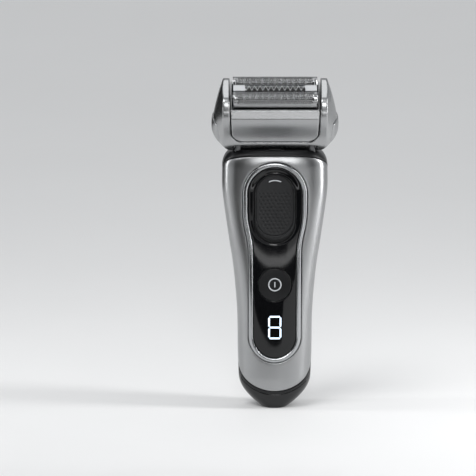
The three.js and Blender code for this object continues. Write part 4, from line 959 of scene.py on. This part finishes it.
def build_collar():
    y0, z0, slope = COVER_HIGH
    rear = z0 - slope * y0
    collar = handle_solid("collar", 0, 100, HEIGHT, 70, 200)
    region = prism("region", [(-FAR, z0 + slope * (-FAR - y0) + 0.1), (0, rear + 0.1), (FAR, rear),
                              (FAR, -FAR), (-FAR, -FAR)], -FAR, FAR, 0)
    trough_cut = rod("trough", HUB_RADIUS + HUB_ROOM, PIVOT, -FAR, FAR, 0, 128)
    arm_low, arm_high = low("neck_yoke"), high("neck_yoke")
    slack = 0.4
    slots = [box("arm_slot", *span(side, arm_high[0] - ARM_WIDTH - slack, arm_high[0] + slack),
                 arm_low[1] - slack, arm_high[1] + slack, 100, HEIGHT + 1) for side in (-1, 1)]
    slots.append(box("lock_slot", -5.4, 5.4, -10.8, -9, 100, HEIGHT + 1))
    slots.append(box("ribbon_slot", -3.5, 3.5, -5.5, -4.1, 100, HEIGHT + 1))
    slots.append(box("trimmer_slot", -RECESS_HALF, RECESS_HALF, RECESS_FLOOR, FAR, 90, HEIGHT + 9))
    cavity = cut(handle_solid("cavity", WALL, 90, HEIGHT - 4),
                 box("recess_wall", -RECESS_HALF - TRAY_WALL, RECESS_HALF + TRAY_WALL,
                     RECESS_FLOOR - TRAY_WALL, FAR, 80, HEIGHT + 9))
    collar = cut(collar, region, cavity, trough_cut, *slots)
    dress(soften(collar, 0.3), "handle", "satin_black", "satin", "neck_collar")


def build_yoke():
    start, end = low("neck_yoke"), high("neck_yoke")
    half = (end[1] - start[1]) / 2
    parts = [box("yoke_base", start[0], end[0], start[1], end[1], start[2], start[2] + ARM_WIDTH)]
    for side in (-1, 1):
        x = span(side, end[0], end[0] - ARM_WIDTH)
        parts.append(box("arm", *x, start[1], end[1], start[2], PIVOT[1]))
        parts.append(rod("arm_eye", half, PIVOT, *x, 0))
    yoke = cut(join(parts[0], *parts[1:]), rod("bore", 1.8, PIVOT, -FAR, FAR, 0))
    # the yoke's steel is painted dark, as painted shade in the collar's slots
    dress(soften(yoke, 0.25), "handle", "steel", "steel_darkened_as_shade", "neck_yoke")


# -------- long-hair trimmer

def build_hair_trimmer():
    half = RECESS_HALF - GAP

    def ribs(uv):
        x, z = uv.T
        across = 1 - smoothstep(np.abs(x), 6.4, 7.4)
        wave = np.clip(np.cos(2 * math.pi * (z - SLIDE_Z[0] - 6.6) / 3), 0, 1) ** 0.7
        zone = smoothstep(z, SLIDE_Z[0] + 5, SLIDE_Z[0] + 5.6) * (1 - smoothstep(
            z, SLIDE_Z[0] + 17.4, SLIDE_Z[0] + 18))
        return 0.55 * wave * zone * across

    slide = laid(BACK, "trimmer_slide", rounded_box(-half, half, *SLIDE_Z, 2.2, 0.7), 0.2, 4.0,
                 edge=0.5, pitch=0.5, rounds=4, lift=ribs)
    dress(slide, "hair_trimmer", "satin_black", "slider", "hair_trimmer_slide")
    comb = toothed("trimmer_comb", "hair_trimmer_comb", 25, 0.5)
    dress(comb, "hair_trimmer", "steel", "foil", "hair_trimmer_comb")
    cutter = toothed("trimmer_cutter", "hair_trimmer_cutter", 19, 0.4)
    dress(cutter, "hair_trimmer_cutter", "steel", "steel", "hair_trimmer_cutter")


def toothed(name, node, teeth, point):
    """A trimmer plate in the place of a CAD one: tapered teeth along its upper edge."""
    start, end = low(node), high(node)
    pitch = (end[0] - start[0]) / teeth
    root = end[2] - 2.7
    outline = [(end[0], start[2])]
    for i in range(teeth):
        x = end[0] - (i + 0.5) * pitch
        outline += [(x + 0.3 * pitch, root), (x + 0.3 * pitch * point, end[2] - 0.15), (x, end[2]),
                    (x - 0.3 * pitch * point, end[2] - 0.15), (x - 0.3 * pitch, root)]
    outline.append((start[0], start[2]))
    return prism(name, outline, start[1], end[1], 1)


# -------- head

side_inset = curve_through([
    (-9.5, 9.2), (-7.3, 6.6), (-5, 4.0), (-3, 2.0), (-1, 0.8), (1.4, 0.1), (7, 0), (12, 0.8),
    (16.7, 1.7), (20, 2.5), (22.5, 3.2), (26, 4.7),
])


def head_half_depth(w):
    if w < 0:
        return math.sqrt(max(HUB_RADIUS**2 - w**2, 0))
    if w <= DEEPEST:
        return lerp(HUB_RADIUS, HEAD_HALF_DEPTH, float(smoothstep(w, 0, DEEPEST)))
    over = min((w - DEEPEST) / (EAR_TOP - DEEPEST), 1)
    return lerp(EAR_TOP_HALF_DEPTH, HEAD_HALF_DEPTH, math.sqrt(1 - over**2))


def head_form(name, grow=0.0):
    """The head's outer form, in its own upright frame on the rocking axis."""
    under = -HUB_RADIUS * np.sin(np.radians([83, 75, 66, 57, 48, 39, 30, 21, 12, 5]))
    rise = np.arange(0, DEEPEST, 0.4)
    crown = DEEPEST + (EAR_TOP - DEEPEST) * np.sin(np.radians(np.linspace(0, 90, 28)))
    across = -np.cos(np.linspace(0, math.pi, 61))
    rings = []
    for w in np.r_[under, rise, crown]:
        half_x = HEAD_HALF - float(side_inset(w)) + grow
        half_y = head_half_depth(float(w)) + grow
        edge = min(EAR_EDGE - EAR_EDGE_PULL * float(smoothstep(-w, 2, 8)), half_x - 0.5)
        x = edge + (half_x - edge) * (1 - np.abs(across) ** 1.8)
        rings.append(np.vstack([np.c_[side * x, side * across * half_y, np.full(len(x), w)]
                                for side in (1, -1)]))
    return loft(name, rings)


def bay_outline(half, bottom, corner, pitch=0.5):
    """The bay between the ears, in x and z, with rounded lower corners."""
    foot = half - BAY_TAPER
    top = EAR_TOP + 10
    return np.vstack([
        [(-half, top), (-half, CASSETTE_TOP)],
        arc((-foot + corner, bottom + corner), corner, math.pi, 1.5 * math.pi, pitch),
        arc((foot - corner, bottom + corner), corner, 1.5 * math.pi, 2 * math.pi, pitch),
        [(foot, bottom + corner), (half, CASSETTE_TOP), (half, top)],
    ])


def arm_sweep(x0, x1):
    """The space that a yoke arm sweeps as the head rocks."""
    half, reach = 3.9, 14.0
    edges = []
    for tilt, side in ((TILT - ROCK, 1), (TILT + ROCK, -1)):
        down = np.array([-math.sin(tilt), -math.cos(tilt)])
        start = np.array([math.cos(tilt), -math.sin(tilt)]) * side * half
        edges.append((start, start + down * reach))
    tip = np.array([-math.sin(TILT), -math.cos(TILT)]) * 18
    outline = [edges[0][0], edges[1][0], edges[1][1], tip, edges[0][1]]
    return join(prism("sweep", outline, x0, x1, 0), rod("eye", half, (0, 0), x0, x1, 0))


TO_HEAD = (Matrix.Translation((0, PIVOT[0] * MM, PIVOT[1] * MM)) @ Matrix.Rotation(TILT, 4, "X"))


def on_head(piece):
    """Moves a piece's points from the head's upright frame to its place on the neck."""
    piece.data.transform(TO_HEAD)
    piece.data.update()
    return piece


def release_box(side, x0, grow):
    """The block that a release button fills, or with some room round it, its pocket."""
    y = RELEASE_HALF_DEPTH + grow
    return box("release", *span(side, x0, FAR), -y, y, RELEASE_HEIGHTS[0] - grow, RELEASE_HEIGHTS[1] + grow)


def build_head():
    head = head_form("head")
    cutters = [
        prism("bay", bay_outline(BAY_HALF, 0, BAY_CORNER), -FAR, FAR, 1),
        rod("drive_room", HUB_RADIUS - HUB_WALL, (0, 0), -15.3, 15.3, 0, 96),
    ]
    for side in (-1, 1):
        cutters.append(arm_sweep(*span(side, 16.1, 19.9)))
        cutters.append(release_box(side, 23.4, GAP))
    head = soften(cut(head, *cutters), 0.28)
    dress(on_head(head), "head", "silver_cover", "cast", "head_frame")
    for side, name in ((-1, "left"), (1, "right")):
        button = common(head_form(f"release_{name}", RELEASE_PROUD), release_box(side, 25.0, 0))
        button = soften(button, 0.25)
        dress(on_head(button), f"release_{name}", "silver_cover", "cast", f"release_button_{name}")


def cassette_outline(inset, bottom, top):
    """The cassette's section in y and z."""
    heights = [*np.arange(bottom, CHAMFER_FROM, 0.25), CHAMFER_FROM]
    side = [(head_half_depth(max(w, 0)) - inset, w) for w in heights]
    side.append((CASSETTE_TOP_HALF_DEPTH - inset, CASSETTE_TOP))
    if top > CASSETTE_TOP:
        side.append((CASSETTE_TOP_HALF_DEPTH - inset, top))
    return side + [(-y, w) for y, w in side[::-1]]


def build_cassette():
    half = BAY_HALF - 0.4
    body = prism("cassette", cassette_outline(0, GAP, CASSETTE_TOP), -half, half, 0)
    body = common(body, prism("bay", bay_outline(half, GAP, BAY_CORNER - GAP), -FAR, FAR, 1))
    hollow = prism("hollow", cassette_outline(1.4, -1, CASSETTE_TOP + 1), 0.9 - half, half - 0.9, 0)
    body = soften(cut(body, hollow), 0.25)
    dress(on_head(body), "cassette", "silver_cover", "cast", "cassette_frame")


def arch(y):
    """A surface map for a foil: along x, and arc length over it from its ridge."""

    def place(uv):
        x, s = uv.T
        quarter = FOIL_RADIUS * math.pi / 2
        turn = np.clip(s / FOIL_RADIUS, -math.pi / 2, math.pi / 2)
        below = np.clip(np.abs(s) - quarter, 0, None)
        return np.c_[x, y + FOIL_RADIUS * np.sin(turn),
                     FOIL_CENTRE + FOIL_RADIUS * np.cos(turn) - below]

    return place


def build_foils():
    """Thin sheets with staggered six-sided holes, and plain ends."""
    pitch, radius = 1.05, 0.4
    end = FOIL_HALF - 2.4
    over = FOIL_RADIUS * math.pi / 2 + FOIL_SKIRT
    reach = FOIL_RADIUS * math.radians(84)
    outline = polygon([(-FOIL_HALF, -over), (FOIL_HALF, -over), (FOIL_HALF, over),
                       (-FOIL_HALF, over)], 0.8)
    turn = np.radians(np.arange(30, 390, 60))[::-1]
    hexagon = radius * np.c_[np.cos(turn), np.sin(turn)]
    rows = np.arange(-reach, reach + 1e-6, pitch * 0.866)
    holes = []
    for i, s in enumerate(rows):
        start = -end + (pitch / 2 if i % 2 else 0)
        holes += [hexagon + (x, s) for x in np.arange(start, end + 1e-6, pitch)]
    for name, side in (("front", -1), ("back", 1)):
        sheet = skin(f"foil_sheet_{name}", [outline, *holes], arch(side * FOIL_PITCH_HALF), 0, 0.16,
                     edge=0, pitch=0.7)
        dress(on_head(sheet), f"foil_{name}", "foil_steel", "foil", f"foil_{name}")


def build_centre_trimmer():
    """A channel whose top is a zigzag of cutting teeth between two plain ends."""
    deep, sheet = TRIMMER_HALF_DEPTH, 0.4
    half, bottom = FOIL_HALF - 0.1, FOIL_CENTRE - FOIL_SKIRT
    teeth, end = 11, 14.6
    pitch = 2 * end / teeth
    stroke = 0.75
    top_edge = [(-end + (i + 0.5) * pitch / 2, (deep - 0.15) * (1 if i % 2 else -1))
                for i in range(2 * teeth)]
    points = [(-end, 0)] + top_edge + [(end, 0)]
    ribbon = [(x, y + stroke) for x, y in points] + [(x, y - stroke) for x, y in points[::-1]]
    parts = [prism("zigzag", np.clip(ribbon, (-FAR, -deep), (FAR, deep)), TRIMMER_TOP - sheet,
                   TRIMMER_TOP, 2)]
    for side in (-1, 1):
        parts.append(box("end_plate", *span(side, end - 0.1, half), -deep, deep, TRIMMER_TOP - 1.2,
                         TRIMMER_TOP))
        parts.append(box("wall", -half, half, *span(side, deep, deep - sheet), bottom,
                         TRIMMER_TOP - 0.9))
    trimmer = soften(join(parts[0], *parts[1:]), 0.14, 2, 0.4)
    dress(on_head(trimmer), "centre_trimmer", "steel", "teeth", "centre_trimmer")


# -------- CAD nodes that stay

def finish_frame_nodes():
    """Gives each CAD node that still shows its material, and small rounded edges."""
    kinds = {
        "inner": "chassis power_switch drive_housing drive_bridge_outer drive_bridge_inner",
        "satin": "charging_socket foil_carrier_front foil_carrier_back lock_bar trim_blade",
        "brass": "socket_pin_left socket_pin_right station_contact_left station_contact_right",
        # the cutters' steel is painted dark, as painted shade under the foils, so the foils' holes read
        # dark
        "steel_darkened_as_shade": "cutter_front cutter_back",
        "soft": "housing_seal drive_cover",
        "wrap": "battery_cell",
        "board": "main_board",
        "gloss": "display_module",
        "film": "drive_ribbon",
        "copper": "motor_coil",
    }
    looks = {node: kind for kind, nodes in kinds.items() for node in nodes.split()}
    for name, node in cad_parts.items():
        if node.hide_render:
            continue
        node.data.materials.clear()
        node.data.materials.append(LOOK[looks.get(name, "steel")])
        rounded = node.modifiers.new("rounded", "BEVEL")
        rounded.width = 0.12 * MM
        rounded.segments = 2
        rounded.limit_method = "ANGLE"
        rounded.angle_limit = math.radians(50)


# -------- floor, light and camera

def flat(name, half_width, half_height):
    """A flat rectangle facing +Z, in metres."""
    w, h = half_width, half_height
    mesh = bpy.data.meshes.new(name)
    mesh.from_pydata([(-w, -h, 0), (w, -h, 0), (w, h, 0), (-w, h, 0)], [], [(0, 1, 2, 3)])
    return add_object(name, mesh)


def build_floor():
    floor = flat("floor", 8.0, 8.0)
    floor.data.materials.append(finish_of("pale_floor", (0.80, 0.80, 0.80), 0.6, grain=(40, 40, 40),
                                          relief=0.02, depth=0.05, tint=0.01, specular=0.2,
                                          stain=(3, 3, 3)))


def aim(thing, place, target):
    """Places a light or card with its -Z axis towards a target."""
    thing.location = place
    thing.rotation_euler = (Vector(target) - Vector(place)).to_track_quat("-Z", "Y").to_euler()


def area_light(name, place, target, width, height, power):
    data = bpy.data.lights.new(name, "AREA")
    data.shape = "RECTANGLE"
    data.size, data.size_y = width, height
    data.energy = power
    light = add_object(name, data)
    aim(light, place, target)
    light.visible_camera = False


def build_light():
    """Soft light. Places and sizes are in metres."""
    world = bpy.data.worlds.new("studio")
    world.use_nodes = True
    backdrop = world.node_tree.nodes["Background"]
    backdrop.inputs["Color"].default_value = (0.95, 0.975, 1.0, 1)
    backdrop.inputs["Strength"].default_value = 0.42
    bpy.context.scene.world = world
    sun = bpy.data.lights.new("key", "SUN")
    sun.energy = 1.1
    sun.angle = math.radians(30)
    aim(add_object("key", sun), (0, 0, 0), (0.5, 0.7, -1.3))
    middle = (0, 0, 0.1)
    for name, place, width, height, power in (
            ("strip_right", (0.36, -0.07, 0.24), 0.07, 0.46, 1.3),
            ("strip_left", (-0.42, 0.0, 0.24), 0.05, 0.44, 0.6),
            ("front", (0.03, -0.9, 0.5), 0.12, 0.5, 1.4),
            ("overhead", (0.0, 0.33, 1.05), 0.4, 0.25, 0.6)):
        area_light(name, place, middle, width, height, power)
    for name, place, width, height in (
            ("flag_left", (-0.18, -0.37, 0.2), 0.3, 0.42),
            ("flag_right", (0.22, -0.36, 0.2), 0.14, 0.4),
            ("flag_behind", (-0.3, 0.3, 0.25), 0.4, 0.5)):
        build_card(name, place, middle, width, height)
    build_card("flag_floor", (-0.135, -0.45, 0.002), (-0.135, -0.45, 1.0), 0.33, 0.62)
    build_card("flag_louvre", (0.0, -0.225, 0.011), (0.0, 0.0, 0.011), 0.5, 0.022)
    build_card("glow_low", (0.0, -0.29, 0.003), (0.0, -0.29, 1.0), 0.34, 0.1, 1.6)


def build_card(name, place, target, width, height, glow=0.0):
    """A card that only reflections see: black, or lit by itself."""
    card = flat(name, width / 2, height / 2)
    aim(card, place, target)
    look = glowing(name, (1, 1, 1), glow) if glow else finish_of(name, (0.004, 0.004, 0.004), 0.9,
                                                                 specular=0.0)
    card.data.materials.append(look)
    for ray in ("camera", "diffuse", "shadow", "transmission", "volume_scatter"):
        setattr(card, f"visible_{ray}", False)


def build_camera():
    """A long lens straight in front, a little above. Places are in metres."""
    distance, elevation = 2.5, math.radians(10)
    target = Vector((-0.01794, 0, 0.0832))
    back = Vector((0, -math.cos(elevation), math.sin(elevation)))
    data = bpy.data.cameras.new("camera")
    data.sensor_width = 36
    data.lens = 386.8
    data.clip_end = 50
    camera = add_object("camera", data)
    camera.location = target + back * distance
    camera.rotation_euler = (-back).to_track_quat("-Z", "Y").to_euler()
    bpy.context.scene.camera = camera


# -------- assembly

bpy.context.scene.view_settings.view_transform = "Standard"
for build in (
        build_camera, build_front_cover, build_bezel, build_inlay, build_digit, build_slider, build_pad,
        build_button, build_rear_shell, build_grip, build_cap, build_collar, build_yoke,
        build_hair_trimmer, build_head, build_cassette, build_foils, build_centre_trimmer,
        finish_frame_nodes, build_floor, build_light):
    build()
